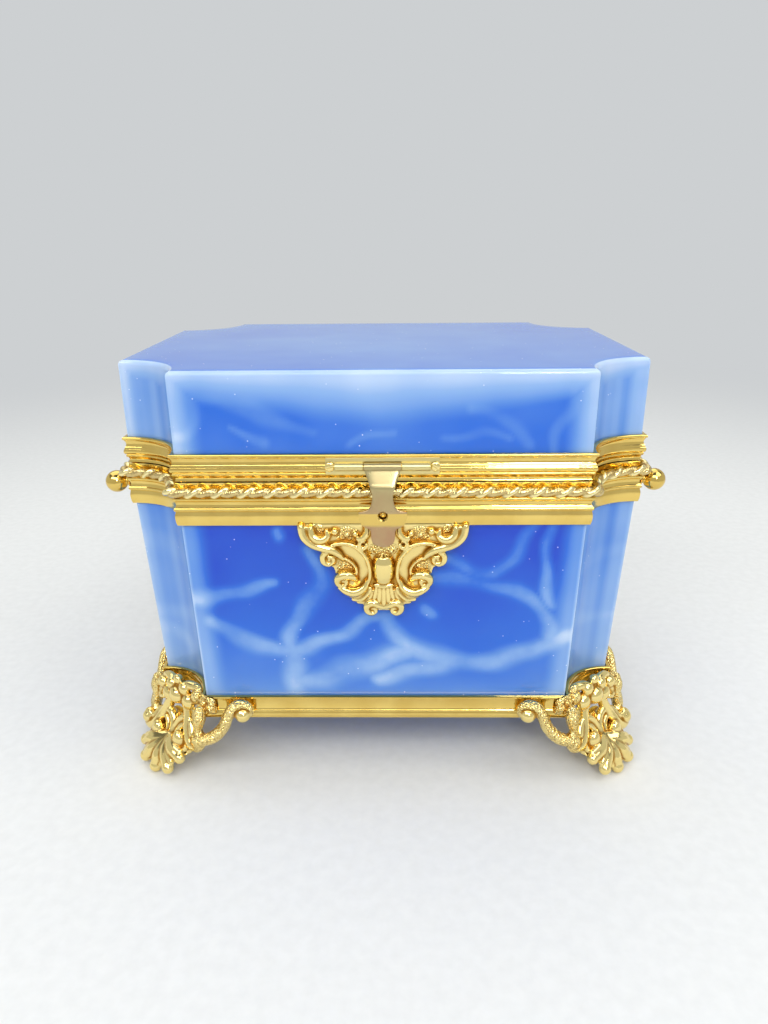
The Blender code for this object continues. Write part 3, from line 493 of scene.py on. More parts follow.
# Outer wall, rim, inner wall and floor as one closed skin: rings of the coved plan whose section runs straight from
# the base's to the mouth's between the foot and the apron, closed by shrinking the plan to the centre
def makeBodyGlass(look):
    foot, rim, wall, edge, lip = levels["glassBottom"], levels["bodyRim"], look["wall"], look["edge"], look["lip"]
    turn = np.linspace(0, math.pi / 2, 6)
    upWall = np.arange(foot + edge + look["rowPitch"], rim, look["rowPitch"])
    outerZ = np.concatenate([foot + edge * (1 - np.cos(turn)), upWall])
    outerOff = np.concatenate([-edge * (1 - np.sin(turn)), np.zeros(len(upWall))])
    below = outerZ < rim - lip
    rimZ = np.array([rim - lip, rim, rim, rim - lip])
    rimOff = np.array([0, -lip, lip - wall, -wall])
    floorZ = foot + look["floor"]
    innerWall = np.linspace(rim - 2 * mm, floorZ + edge, look["innerRows"])
    innerZ = np.concatenate([innerWall, floorZ + edge * (1 - np.sin(turn[1:]))])
    innerOff = -wall - np.concatenate([0 * innerWall, edge * (1 - np.cos(turn[1:]))])
    z = np.concatenate([outerZ[below], rimZ, innerZ])
    off = np.concatenate([outerOff[below], rimOff, innerOff])
    t = np.clip((z - foot - edge) / (levels["apronFoot"] - foot - edge), 0, 1)
    half, deep, radius = (base[i] + (mouth[i] - base[i]) * t for i in range(3))
    x, y, near, onArc, where = planRows(half, deep, radius, off, look["arcSteps"], look["sideSteps"])
    xs, ys, zs, scale, points = closeRings(x, y, z, look["floorSteps"])
    # Painted light at the edges, in the coves and on the arris; paler towards the foot; painted shadow under the apron
    edgePale = look["edgePale"] * (1 - smooth(near, 1.5 * mm, 7.0 * mm))
    middle, ends = look["covePale"]
    covePale = middle + ends * smooth(np.abs(where - 0.5), 0.25, 0.5) + coveStreaks(where)
    # painted highlight on the arris
    arris = look["arrisPale"] * (1 - smooth(near, 0.1 * mm, 0.7 * mm))  # a polished edge gathers light
    columns = (np.where(onArc > 0, covePale, edgePale) + arris)[None, :]
    rise = sum(tone * (1 - smooth(zs, low, high)) for tone, low, high in look["footPale"]) + look["wallPale"]
    # painted shadow under the apron, growing between the two heights
    dim, low, high = look["apronShade"]
    pale = 1 - (1 - columns) * (1 - rise) - dim * smooth(zs, low, high)
    onWall = smooth(scale, 0.6, 1.0)
    pale = look["floorPale"] + (pale - look["floorPale"]) * onWall  # floor and underside are even
    hidden = (1 - 0.75 * onArc) * (1 - 0.4 * edgePale)  # veins fade in the coves and at the edges
    vein = veinField(xs, ys, zs, bodyVeins, 52 * mm) * hidden * onWall
    numbers = {"pale": np.append(pale, [look["floorPale"]] * 2), "vein": np.append(vein, [0, 0])}
    faces = polarFaces(*xs.shape)
    return addPiece(
        "body_opaline", points, faces, glassFinish, "body", ("body_glass",), numbers=numbers
    )


lidGlass = {
    "wall": 6.5 * mm,
    "roof": 9.0 * mm,
    "edge": 1.2 * mm,  # radius of the top's edge
    "innerEdge": 1.4 * mm,
    "lip": 0.4 * mm,
    "arcSteps": 24,
    "sideSteps": (130, 80),
    "rowPitch": 0.7 * mm,
    "innerRows": 12,
    "roofSteps": 20,
    "roofPale": 0.36,
    "edgePale": (0.84, 0.56),  # at an edge, and how much less away from it
    "covePale": (0.60, 0.2),
    # topPale is a painted reflection on the flat top
    "topPale": (0.52, 0.08),  # in the middle of the top, and how much less towards its edge
    "dropAtEnds": 0.9,  # how much faster the wall deepens at the ends of a side
    "falls": ((0.22, 0.0, 1.5 * mm, 8 * mm), (0.32, 0.16, 6 * mm, 15 * mm)),  # tone lost, more at ends, from, to
    "blend": 0.1,  # share of the deeper of two tones that goes into the paler one
}


# The lid: inner roof, inner wall, rim, outer wall, a rounded edge and a flat top, as one closed skin of coved rings.
# Light comes in at the top, so that the wall is painted palest there and deepens with the drop below it, faster at
# the ends; the paler edges and coves are painted light too, and the top's paler middle a painted reflection
def makeLidGlass(look):
    top, rim, wall, edge, lip = levels["lidTop"], levels["lidRim"], look["wall"], look["edge"], look["lip"]
    roof = top - look["roof"]
    inner = look["innerEdge"]
    turn = np.linspace(0, math.pi / 2, 6)
    innerWall = np.linspace(roof - inner, rim + lip, look["innerRows"])[1:]
    innerZ = np.concatenate([roof - inner * (1 - np.cos(turn)), innerWall])
    innerOff = -wall - np.concatenate([inner * (1 - np.sin(turn)), 0 * innerWall])
    upWall = np.arange(rim + lip, top - edge, look["rowPitch"])
    outerZ = np.concatenate([upWall, top - edge + edge * np.sin(turn)])
    outerOff = np.concatenate([np.zeros(len(upWall)), -edge * (1 - np.cos(turn))])
    z = np.concatenate([innerZ, [rim, rim], outerZ])
    off = np.concatenate([innerOff, [lip - wall, -lip], outerOff])
    half, deep, radius = (size + 0 * z for size in mouth)
    x, y, near, onArc, where = planRows(half, deep, radius, off, look["arcSteps"], look["sideSteps"])
    xs, ys, zs, scale, points = closeRings(x, y, z, look["roofSteps"])
    alongSide = np.clip(1 - near / (mouth[0] - mouth[2]), 0, 1)[None, :]  # 0 at the middle of the front, 1 at its ends
    drop = (top - zs) * (1 + look["dropAtEnds"] * alongSide**2)
    light = 1.0
    for lost, atEnds, low, high in look["falls"]:
        light = light - (lost + atEnds * alongSide) * smooth(drop, low, high)
    # painted light: paler at an edge and in the coves
    atEdge, less = look["edgePale"]
    edgePale = atEdge - less * smooth(near, 0.5 * mm, 7.0 * mm)
    middle, ends = look["covePale"]
    covePale = middle + ends * smooth(np.abs(where - 0.5), 0.25, 0.5) + coveStreaks(where)
    columns = np.where(onArc > 0, covePale, edgePale)[None, :]
    blend = look["blend"]
    side = np.maximum(light - blend * (drop > 0), columns) + blend * np.minimum(light, columns)
    # painted reflection on the flat top, palest in the middle
    middle, less = look["topPale"]
    flat = middle - less * smooth(np.hypot(xs / mouth[0], ys / mouth[1]), 0.2, 0.9)
    onWall = smooth(scale, 0.7, 1.0)
    onWall[-look["roofSteps"] :] = 1.0  # the top is polished like the walls; only the inner roof is even
    level = np.where(zs > top - 0.05 * mm, flat, look["roofPale"] + (side - look["roofPale"]) * onWall)
    hidden = (1 - 0.8 * onArc) * 0.3 * smooth(drop, 5 * mm, 12 * mm)
    vein = veinField(xs, ys, zs, lidVeins, 108 * mm) * hidden * onWall
    numbers = {"pale": np.append(level, [look["roofPale"], flat[-1].mean()]), "vein": np.append(vein, [0, 0])}
    faces = polarFaces(*xs.shape)
    return addPiece("lid_opaline", points, faces, glassFinish, "lid", ("lid_glass",), numbers=numbers)


makeBodyGlass(bodyGlass)
makeLidGlass(lidGlass)
print("glass blown")


# Arc from one profile point to another, standing out by sagitta in the middle: the chord plus a half sine
def bow(start, end, sagitta, steps=8):
    t = np.linspace(0, 1, steps + 1)[:, None]
    start, end = np.array(start, float), np.array(end, float)
    chord = end - start
    normal = np.array([-chord[1], chord[0]]) / np.hypot(*chord)
    return start + t * chord + np.sin(math.pi * t) * sagitta * normal


# A moulding: a closed profile of (offset, height) in mm carried round the coved plan, mitred where coves begin
def makeMoulding(name, profile, section, body, replaced):
    profile = np.vstack([np.atleast_2d(part) for part in profile]) * mm
    width, depth, radius = (size * np.ones(len(profile)) for size in section)
    x, y, *_ = planRows(width, depth, radius, profile[:, 0], 20, (24, 16))
    z = profile[:, 1:2] + 0 * x
    points = np.stack([x, y, z], axis=-1).reshape(-1, 3)
    step = np.hypot(np.diff(x[0], append=x[0, 0]), np.diff(y[0], append=y[0, 0]))
    along = (np.cumsum(step) - step)[None, :] + 0 * x
    girth = np.hypot(*np.diff(profile, axis=0, prepend=profile[:1]).T)
    over = np.cumsum(girth)[:, None] + 0 * x
    uv = np.stack([along, over], axis=-1).reshape(-1, 2)
    faces = gridFaces(*x.shape, roundRows=True)[:, ::-1]
    return addPiece(name, points, faces, stripFinish, body, (replaced,), uv=uv, crease=32)


lidMoulding = [
    [(0.3, 98.9), (0.86, 98.9), (1.06, 98.84), (1.19, 98.71), (1.25, 98.52), (1.25, 98.34), (1.19, 98.18),
     (1.06, 98.08)],
    bow((0.95, 98.02), (0.96, 95.75), -0.42),
    [(0.98, 95.68)],
    bow((0.98, 95.6), (0.98, 94.1), 0.27),
    [(0.6, 94.0)],
    bow((0.68, 93.95), (0.68, 93.2), 0.17, 5),
    [(0.45, 93.1)],
    bow((0.42, 93.0), (0.35, 91.7), -0.22, 6),
    [(0.3, 91.6), (-6.5, 91.6), (-6.5, 92.5), (-0.6, 92.5)],
    [(-0.6, 93.6), (0.3, 93.6)],
]
bodyMoulding = [
    [(-6.5, 91.3), (0.35, 91.3), (0.35, 87.4), (0.95, 87.4), (1.12, 87.33), (1.23, 87.18), (1.25, 86.95),
     (1.2, 86.74), (1.1, 86.58)],
    bow((1.0, 86.5), (0.98, 84.65), -0.34),
    bow((1.08, 84.6), (1.08, 83.8), 0.17, 6),
    [(0.86, 83.6)],
    bow((0.9, 83.45), (1.1, 81.7), 0.08, 5),
    bow((1.08, 81.6), (0.82, 79.95), 0.06, 5),
    [(0.74, 79.75), (0.55, 79.7), (0.3, 79.7), (0.3, 86.5), (-0.6, 86.5), (-0.6, 90.4), (-6.5, 90.4)],
]
baseMoulding = [
    [(0.6, 25.8), (1.35, 25.8), (1.52, 25.68), (1.55, 25.3), (1.4, 25.08)],
    bow((1.18, 25.0), (1.2, 21.5), -0.25),
    bow((1.34, 21.35), (1.34, 20.8), 0.13, 5),
    [(1.12, 20.65)],
    bow((1.16, 20.5), (1.3, 18.9), 0.18),
    [(1.22, 18.65), (1.0, 18.6), (-6.5, 18.6), (-6.5, 19.3), (0.6, 19.3)],
]
makeMoulding("lid_moulding", lidMoulding, mouth, "lid", "lid_frame")
makeMoulding("body_moulding", bodyMoulding, mouth, "body", "body_frame")
makeMoulding("base_moulding", baseMoulding, base, "body", "base_band")
print("mouldings drawn")

rope = {
    "out": 2.15 * mm,
    "level": 89.2 * mm,
    "lay": 6.7 * mm,  # length in which the strands turn once
    "wire": (0.72 * mm, 0.86 * mm),  # each strand's distance from the axis, and its radius
    "knurled": (0.3 * mm, 1.0 * mm),
    "step": 0.3 * mm,
    "sides": 32,
    "bend": 3.0 * mm,  # over which the path's corners are rounded
    "breakHalf": 36.0 * mm,  # half the gap that the back hinge stands in
    "taper": 1.2 * mm,
}


# A polished wire and a knurled one twisted together: at each place along the path the section is the
# outline of two circles either side of the axis, each d cos a + sqrt(r^2 - d^2 sin^2 a), turned once in each lay
def makeRope(look):
    x, y, *_ = planRows(*mouth, look["out"], 60, (400, 250))
    loop = np.stack([x[0], y[0]], axis=-1)
    loop = np.vstack([loop, loop[:1]])
    run = np.concatenate([[0], np.cumsum(np.hypot(*np.diff(loop, axis=0).T))])
    even = np.arange(0, run[-1], look["step"])
    path = np.stack([np.interp(even, run, loop[:, i]) for i in (0, 1)], axis=-1)
    window = np.hanning(int(look["bend"] / look["step"]) * 2 + 1)
    window /= window.sum()
    pad = len(window)
    for i in (0, 1):  # rounds the corners of the path
        path[:, i] = np.convolve(np.concatenate([path[-pad:, i], path[:, i], path[:pad, i]]), window, "same")[pad:-pad]
    atBack = np.flatnonzero((path[:, 1] > mouth[1]) & (np.abs(path[:, 0]) < look["breakHalf"]))
    path = np.roll(path, -(atBack[-1] + 1), axis=0)[: len(path) - len(atBack)]
    tangent = np.gradient(path, axis=0)
    tangent /= np.linalg.norm(tangent, axis=1)[:, None]
    away = np.stack([tangent[:, 1], -tangent[:, 0]], axis=-1)
    run = np.concatenate([[0], np.cumsum(np.hypot(*np.diff(path, axis=0).T))])
    around = np.linspace(0, 2 * math.pi, look["sides"], endpoint=False)
    angle = around[None, :] - 2 * math.pi * run[:, None] / look["lay"]
    reach = []
    for (apart, radius), way in ((look["wire"], angle), (look["knurled"], angle + math.pi)):
        inside = radius**2 - (apart * np.sin(way)) ** 2
        reach.append(np.where(inside > 0, apart * np.cos(way) + np.sqrt(np.maximum(inside, 0)), 0))
    taper = np.sqrt(np.clip(np.minimum(run, run[-1] - run) / look["taper"], 0.02, 1))[:, None]
    girth = np.maximum(*reach) * taper
    px, py = (path[:, i : i + 1] + away[:, i : i + 1] * girth * np.cos(around) for i in (0, 1))
    pz = look["level"] + girth * np.sin(around)
    points = np.stack([px, py, pz], axis=-1).reshape(-1, 3)
    points = np.vstack([points, [(*path[i], look["level"]) for i in (0, -1)]])
    over = look["knurled"][1] * 1.3 * (angle % (2 * math.pi))
    uv = np.stack([run[:, None] + 0 * px, over], axis=-1).reshape(-1, 2)
    uv = np.vstack([uv, [(0, 0), (0, 0)]])
    ahead = reach[1] - reach[0]  # how far the knurled strand stands out beyond the wire
    knurled = smooth(ahead, -0.02 * mm, 0.05 * mm)
    # where the strands meet, the finish paints shade into the groove
    hollow = 1 - smooth(np.abs(ahead), 0.0, 0.35 * mm)
    numbers = {"knurled": np.append(knurled, [0, 0]), "hollow": np.append(hollow, [0, 0])}
    faces = [face[::-1] for face in polarFaces(*px.shape)]
    node = ("rope_moulding",)
    return addPiece(
        "rope_twist", points, faces, ropeFinish, "body", node, uv=uv, numbers=numbers, crease=70
    )


makeRope(rope)
print("rope laid")


# A turned piece: (distance along, radius) in mm about an axis from a centre, each ring a circle, its ends closed
def turnedGrid(profile, centre, axis, sides=40):
    profile = np.asarray(profile, float) * mm
    axis = np.asarray(axis, float)
    across = np.cross(axis, (0, 0, 1.0) if abs(axis[2]) < 0.9 else (1.0, 0, 0))
    across /= np.linalg.norm(across)
    other = np.cross(axis, across)
    around = np.linspace(0, 2 * math.pi, sides, endpoint=False)
    ring = np.cos(around)[:, None] * across + np.sin(around)[:, None] * other
    points = np.asarray(centre, float) + profile[:, None, :1] * axis + profile[:, None, 1:] * ring[None]
    ends = np.asarray(centre, float) + np.array([profile[0, 0], profile[-1, 0]])[:, None] * axis
    return np.vstack([points.reshape(-1, 3), ends]), [face[::-1] for face in polarFaces(len(profile), sides)]


# A turned piece that stands for one node; its UV, where it needs one, is two of its coordinates
def addTurned(name, node, profile, centre, axis, sides, finish, body, uvFrom=None, crease=35):
    points, faces = turnedGrid(profile, centre, axis, sides)
    uv = None if uvFrom is None else points[:, uvFrom]
    return addPiece(name, points, faces, finish, body, (node,), uv=uv, crease=crease)


# Several closed shapes as one mesh: their points and faces end to end
def gather(shapes):
    points, faces, start = [], [], 0
    for shapePoints, shapeFaces in shapes:
        points.append(shapePoints)
        faces += [tuple(int(i) + start for i in face) for face in outward(shapePoints, shapeFaces)]
        start += len(shapePoints)
    return np.vstack(points), faces


finial = {
    "place": (70.0 * mm, -30.0 * mm, 85.4 * mm),
    "collar": [(0.35, 0.8), (1.25, 0.8), (1.3, 1.5), (1.5, 1.7), (1.75, 1.65), (1.9, 1.35), (2.1, 1.15)],
    "radius": 3.1,
    "centreOut": 5.4,
    "neck": 1.15,
}


# A ball on a small collar: circle of the ball from the neck round to the far pole
def makeFinial(name, side, look):
    r, out = look["radius"], look["centreOut"]
    angle = np.linspace(math.asin(look["neck"] / r), math.pi - 0.02, 24)
    ball = np.stack([out - r * np.cos(angle), r * np.sin(angle)], axis=-1)
    profile = np.vstack([look["collar"], ball])
    centre = np.array(look["place"]) * (side, 1, 1)
    addTurned(name + "_turned", name, profile, centre, (side, 0, 0), 48, stripFinish, "body", [1, 2], 50)


makeFinial("ball_finial_left", -1, finial)
makeFinial("ball_finial_right", 1, finial)
print("finials turned")


# A tube along a smooth curve through (x, y, z, radius) points: rings of that radius square to the curve, the first
# and last rings shrunk to round the ends
def sweep(points, count=28, sides=12, lean=(0, 0, 1.0)):
    path = flow(np.asarray(points, float), count)
    centre, radius = path[:, :3], path[:, 3:]
    tangent = np.gradient(centre, axis=0)
    tangent /= np.linalg.norm(tangent, axis=1)[:, None]
    across = np.cross(tangent, lean)
    across /= np.maximum(np.linalg.norm(across, axis=1)[:, None], 1e-9)
    other = np.cross(tangent, across)
    around = np.linspace(0, 2 * math.pi, sides, endpoint=False)
    start = centre[0] - tangent[0] * radius[0] * np.array([[0.95], [0.6]])
    end = centre[-1] + tangent[-1] * radius[-1] * np.array([[0.6], [0.95]])
    centre = np.vstack([start, centre, end])
    radius = np.vstack([radius[0] * 0.3, radius[0] * 0.8, radius, radius[-1] * 0.8, radius[-1] * 0.3])
    across = np.vstack([across[:1], across[:1], across, across[-1:], across[-1:]])
    other = np.vstack([other[:1], other[:1], other, other[-1:], other[-1:]])
    ring = np.cos(around)[None, :, None] * across[:, None] + np.sin(around)[None, :, None] * other[:, None]
    grid = centre[:, None] + radius[:, None] * ring
    return np.vstack([grid.reshape(-1, 3), centre[:1], centre[-1:]]), polarFaces(len(centre), sides)


# A ball or egg: rings of a sphere, stretched by the three sizes along the three given directions
def egg(centre, sizes, directions, rings=12, sides=20):
    polar = ((np.arange(rings) + 0.5) / rings * math.pi)[:, None]
    around = np.linspace(0, 2 * math.pi, sides, endpoint=False)
    parts = (np.sin(polar) * np.cos(around), np.sin(polar) * np.sin(around), np.cos(polar) + 0 * around)
    ball = np.vstack([np.stack(parts, axis=-1).reshape(-1, 3), [(0, 0, 1), (0, 0, -1)]]) * np.asarray(sizes, float)
    return np.asarray(centre, float) + ball @ np.asarray(directions, float), polarFaces(rings, sides)


# A piece as it is once its modifiers have run
def worked(piece):
    return piece.evaluated_get(bpy.context.evaluated_depsgraph_get())


# Casts shapes that overlap into one skin by a voxel remesh, as metal fills one mould; `fit` then moves the points
# clear of what the piece sits on. How deep each point lies in a hollow is its distance under the same skin with its
# bumps averaged out: each point taken a number of times to the mean of its neighbours
def castPiece(name, shapes, grain, fit, matting, body):
    rough = newMesh(name + "_pattern", *gather(shapes))
    pattern = addObject(name + "_pattern", rough)
    fuse = pattern.modifiers.new("fuse", "REMESH")
    fuse.mode, fuse.voxel_size, fuse.use_smooth_shade = "VOXEL", grain, True
    done = worked(pattern).to_mesh()
    skin, normals = (readArray(done.vertices, label, 3) for label in ("co", "normal"))
    edges = readArray(done.edges, "vertices", 2, np.int32)
    quads = [tuple(polygon.vertices) for polygon in done.polygons]
    bpy.data.objects.remove(pattern)
    bpy.data.meshes.remove(rough)
    count = len(skin)
    degree = np.bincount(edges.ravel(), minlength=count)[:, None]
    a, b = edges.T

    def averaged(values):
        total = [np.bincount(a, values[b, i], count) + np.bincount(b, values[a, i], count) for i in range(3)]
        return np.stack(total, axis=-1) / degree

    skin = 0.5 * skin + 0.5 * averaged(skin)
    calm = skin
    rounds = 14
    for _ in range(rounds):
        calm = averaged(calm)
    depth = ((calm - skin) * normals).sum(axis=1)
    # hollow: how deep a point lies, by which the finish paints shade into the hollows
    numbers = {"hollow": smooth(depth, -0.03 * mm, 0.13 * mm), "matting": matting(skin)}
    node = (name.replace("_cast", ""),)
    return addPiece(name, fit(skin), quads, castFinish, body, node, numbers=numbers, crease=80)


front = -mouth[1]


# Where the front of the body glass stands, at a height: it draws in towards the foot
def glassFront(z):
    straight = levels["apronFoot"] - levels["glassBottom"] - bodyGlass["edge"]
    return front + (mouth[1] - base[1]) * (levels["apronFoot"] - z) / straight


# The escutcheon, right half: (across, up, out from the glass, radius) in mm; it is mirrored for the left
escutcheon = {
    "grain": 0.2 * mm,
    "plate": 1.05,
    "clear": 0.3 * mm,
    "edge": [
        (21.6, 80.2), (21.3, 77.6), (20.2, 75.6), (18.6, 74.2), (16.6, 73.2), (16.2, 71.6), (15.8, 69.8),
        (14.4, 68.2), (13.2, 67.6),
        (12.8, 66.2), (12.8, 64.4), (12.0, 62.6), (10.4, 61.2), (9.2, 59.8), (8.4, 58.2), (6.6, 57.2),
        (4.9, 56.4), (4.5, 54.6),
        (3.2, 53.6), (1.6, 54.4),
    ],
    "rolls": [
        [(21.3, 79.6, 1.4, 0.9), (20.6, 76.9, 1.6, 1.05), (18.6, 74.9, 1.7, 1.1), (15.9, 73.8, 1.8, 1.05),
         (13.5, 73.1, 1.8, 0.95), (11.7, 71.7, 1.6, 0.75), (10.7, 70.2, 1.3, 0.45)],
        [(19.9, 79.5, 1.5, 0.35), (19.2, 77.3, 1.6, 0.4), (17.6, 75.6, 1.8, 0.4), (15.4, 74.9, 1.8, 0.3)],
        [(18.7, 79.3, 1.5, 0.7), (18.4, 77.4, 1.8, 0.9), (17.1, 76.2, 2.0, 1.0), (15.5, 76.2, 2.0, 0.9),
         (14.4, 77.2, 1.8, 0.7), (14.6, 78.5, 1.6, 0.5)],
        [(13.0, 72.9, 1.5, 0.6), (14.7, 72.6, 1.7, 0.75), (15.9, 71.3, 1.7, 0.75), (15.8, 69.6, 1.7, 0.7),
         (14.5, 68.8, 1.6, 0.65), (13.3, 69.5, 1.5, 0.55), (13.3, 70.7, 1.5, 0.5), (14.3, 70.9, 1.6, 0.5)],
        [(14.0, 74.2, 1.3, 0.45), (12.4, 74.6, 1.5, 0.5), (10.2, 74.9, 1.7, 0.5), (7.7, 74.3, 1.8, 0.5),
         (5.6, 72.4, 1.9, 0.48), (4.3, 70.2, 1.9, 0.45), (3.7, 67.5, 1.9, 0.42), (3.7, 64.8, 1.8, 0.42),
         (4.4, 62.6, 1.5, 0.4)],
        [(12.4, 71.2, 1.2, 0.3), (10.0, 70.3, 1.35, 0.35), (8.2, 69.0, 1.4, 0.35), (7.2, 67.2, 1.4, 0.35),
         (7.2, 65.6, 1.3, 0.35)],
        [(7.4, 64.2, 1.5, 0.6), (8.5, 65.5, 2.0, 0.95), (10.2, 65.9, 2.1, 1.1), (11.9, 65.1, 2.0, 1.05),
         (12.3, 63.5, 1.8, 0.8), (11.4, 62.4, 1.6, 0.65), (10.1, 62.8, 1.6, 0.5), (9.9, 63.9, 1.7, 0.5)],
        [(11.8, 62.0, 1.4, 0.7), (10.3, 61.1, 1.8, 0.95), (8.3, 60.5, 2.0, 1.05), (6.4, 61.0, 2.0, 0.95),
         (5.0, 62.2, 1.8, 0.75), (4.4, 63.6, 1.6, 0.5)],
        [(9.0, 59.2, 1.3, 0.5), (7.0, 59.3, 1.6, 0.6), (5.3, 60.6, 1.7, 0.5), (4.2, 62.2, 1.5, 0.35)],
        [(8.2, 58.1, 1.3, 0.5), (6.1, 58.3, 1.6, 0.6), (4.4, 59.8, 1.7, 0.5), (3.5, 61.6, 1.5, 0.35)],
        [(7.0, 57.3, 1.3, 0.45), (5.2, 57.5, 1.5, 0.55), (3.7, 58.9, 1.6, 0.45), (3.0, 60.8, 1.4, 0.3)],
        [(0.0, 69.2, 0.35, 2.5), (0.0, 67.2, 0.35, 2.6), (0.0, 65.2, 0.35, 2.5)],
        [(0.0, 62.4, 1.5, 0.5), (0.0, 60.0, 1.7, 0.6), (0.0, 57.2, 1.8, 0.7)],
        [(0.9, 62.4, 1.4, 0.5), (1.05, 60.0, 1.6, 0.6), (1.35, 57.4, 1.7, 0.65)],
        [(1.8, 62.2, 1.3, 0.5), (2.1, 60.0, 1.4, 0.6), (2.8, 57.9, 1.5, 0.6)],
        [(0.0, 56.1, 1.7, 0.8), (1.3, 56.5, 1.9, 0.85), (2.9, 57.3, 2.0, 0.9), (4.4, 56.6, 1.9, 0.9),
         (4.6, 55.0, 1.8, 0.8), (3.4, 54.0, 1.7, 0.7), (2.2, 54.6, 1.6, 0.55), (2.6, 55.7, 1.7, 0.45)],
        [(4.1, 79.4, 1.4, 0.7), (4.2, 77.9, 1.6, 0.8), (5.2, 76.6, 1.7, 0.75), (6.6, 76.2, 1.6, 0.5)],
        [(5.0, 75.9, 1.8, 0.45), (6.1, 75.2, 1.9, 0.5), (6.0, 73.9, 1.9, 0.5), (4.9, 73.6, 1.9, 0.45),
         (4.3, 74.7, 1.9, 0.45)],
        [(-2.3, 62.6, 1.5, 0.4), (0.0, 62.3, 1.8, 0.5), (2.3, 62.6, 1.5, 0.4)],
    ],
    "bold": 1.15,
    "bowl": [(12.8, 73.0, 0.9), (10.4, 72.7, 1.7), (8.0, 71.6, 2.3), (6.2, 69.4, 2.5), (5.4, 66.7, 2.3),
             (5.4, 64.4, 1.9), (6.2, 62.8, 1.2)],
    "bowlDepth": 0.6 * mm,
    "beads": [(12.5, 78.3, 1.5, 1.0), (7.2, 77.6, 1.4, 0.8), (9.6, 77.2, 1.1, 0.5), (14.3, 70.1, 1.4, 0.6),
              (10.9, 64.0, 1.6, 0.7), (3.2, 55.4, 1.5, 0.6)],
    "matted": [(9.9, 68.0, 2.8, 2.8), (9.8, 77.6, 3.6, 2.1), (0.0, 73.0, 4.4, 2.0), (16.6, 78.8, 1.4, 1.2)],
    "ground": 1.45 * mm,  # what stands out less than this is ground, which is matted or bowled
}


def makeEscutcheon(look):
    def at(rows):
        rows = np.asarray(rows, float)
        x, z, out = rows[..., 0] * mm, rows[..., 1] * mm, rows[..., 2] * mm
        return np.stack([x, glassFront(z) - out, z], axis=-1)

    half = np.array(look["edge"])
    plan = np.vstack([half, half[::-1] * (-1, 1)])
    n = len(plan)
    face, back = (at(np.column_stack([plan, np.full(n, out)])) for out in (look["plate"], 0.0))
    rim = gridFaces(2, n)
    shapes = [(np.vstack([face, back]), [*rim.tolist(), tuple(range(n))[::-1], tuple(range(n, 2 * n))])]
    for roll in look["rolls"]:
        for side in (1, -1):
            rows = np.array(roll) * (side, 1, 1, 1)
            tube = np.column_stack([at(rows), rows[:, 3] * look["bold"] * mm])
            shapes.append(sweep(tube, sides=20, lean=(0, 1.0, 0)))
    for x, z, out, size in look["beads"]:
        shapes += [egg(at([side * x, z, out]), [size * mm] * 3, np.eye(3)) for side in (1, -1)]

    def ground(skin):
        return 1 - smooth(glassFront(skin[:, 2]) - skin[:, 1], look["ground"] - 0.3 * mm, look["ground"])

    def fit(skin):
        skin = skin.copy()
        bowl = veinAt(np.abs(skin[:, 0]) / mm, skin[:, 2] / mm, look["bowl"])
        skin[:, 1] += look["bowlDepth"] * bowl * ground(skin)
        outFrom = glassFront(levels["apronFoot"]) - skin[:, 1]
        risen = 1.2 * mm * smooth(outFrom, 0.8 * mm, 1.2 * mm)  # what stands out far enough rises before the apron
        skin[:, 2] = np.minimum(skin[:, 2], levels["apronFoot"] - 0.03 * mm + risen)
        skin[:, 1] = np.minimum(skin[:, 1], glassFront(skin[:, 2]) - look["clear"])
        return skin

    def matting(skin):
        x, z = np.abs(skin[:, 0]) / mm, skin[:, 2] / mm
        places = [1 - smooth(np.hypot((x - a) / w, (z - b) / h), 0.7, 1.1) for a, b, w, h in look["matted"]]
        return np.max(places, axis=0) * ground(skin)

    return castPiece("escutcheon_cast", shapes, look["grain"], fit, matting, "body")


makeEscutcheon(escutcheon)
print("escutcheon cast")

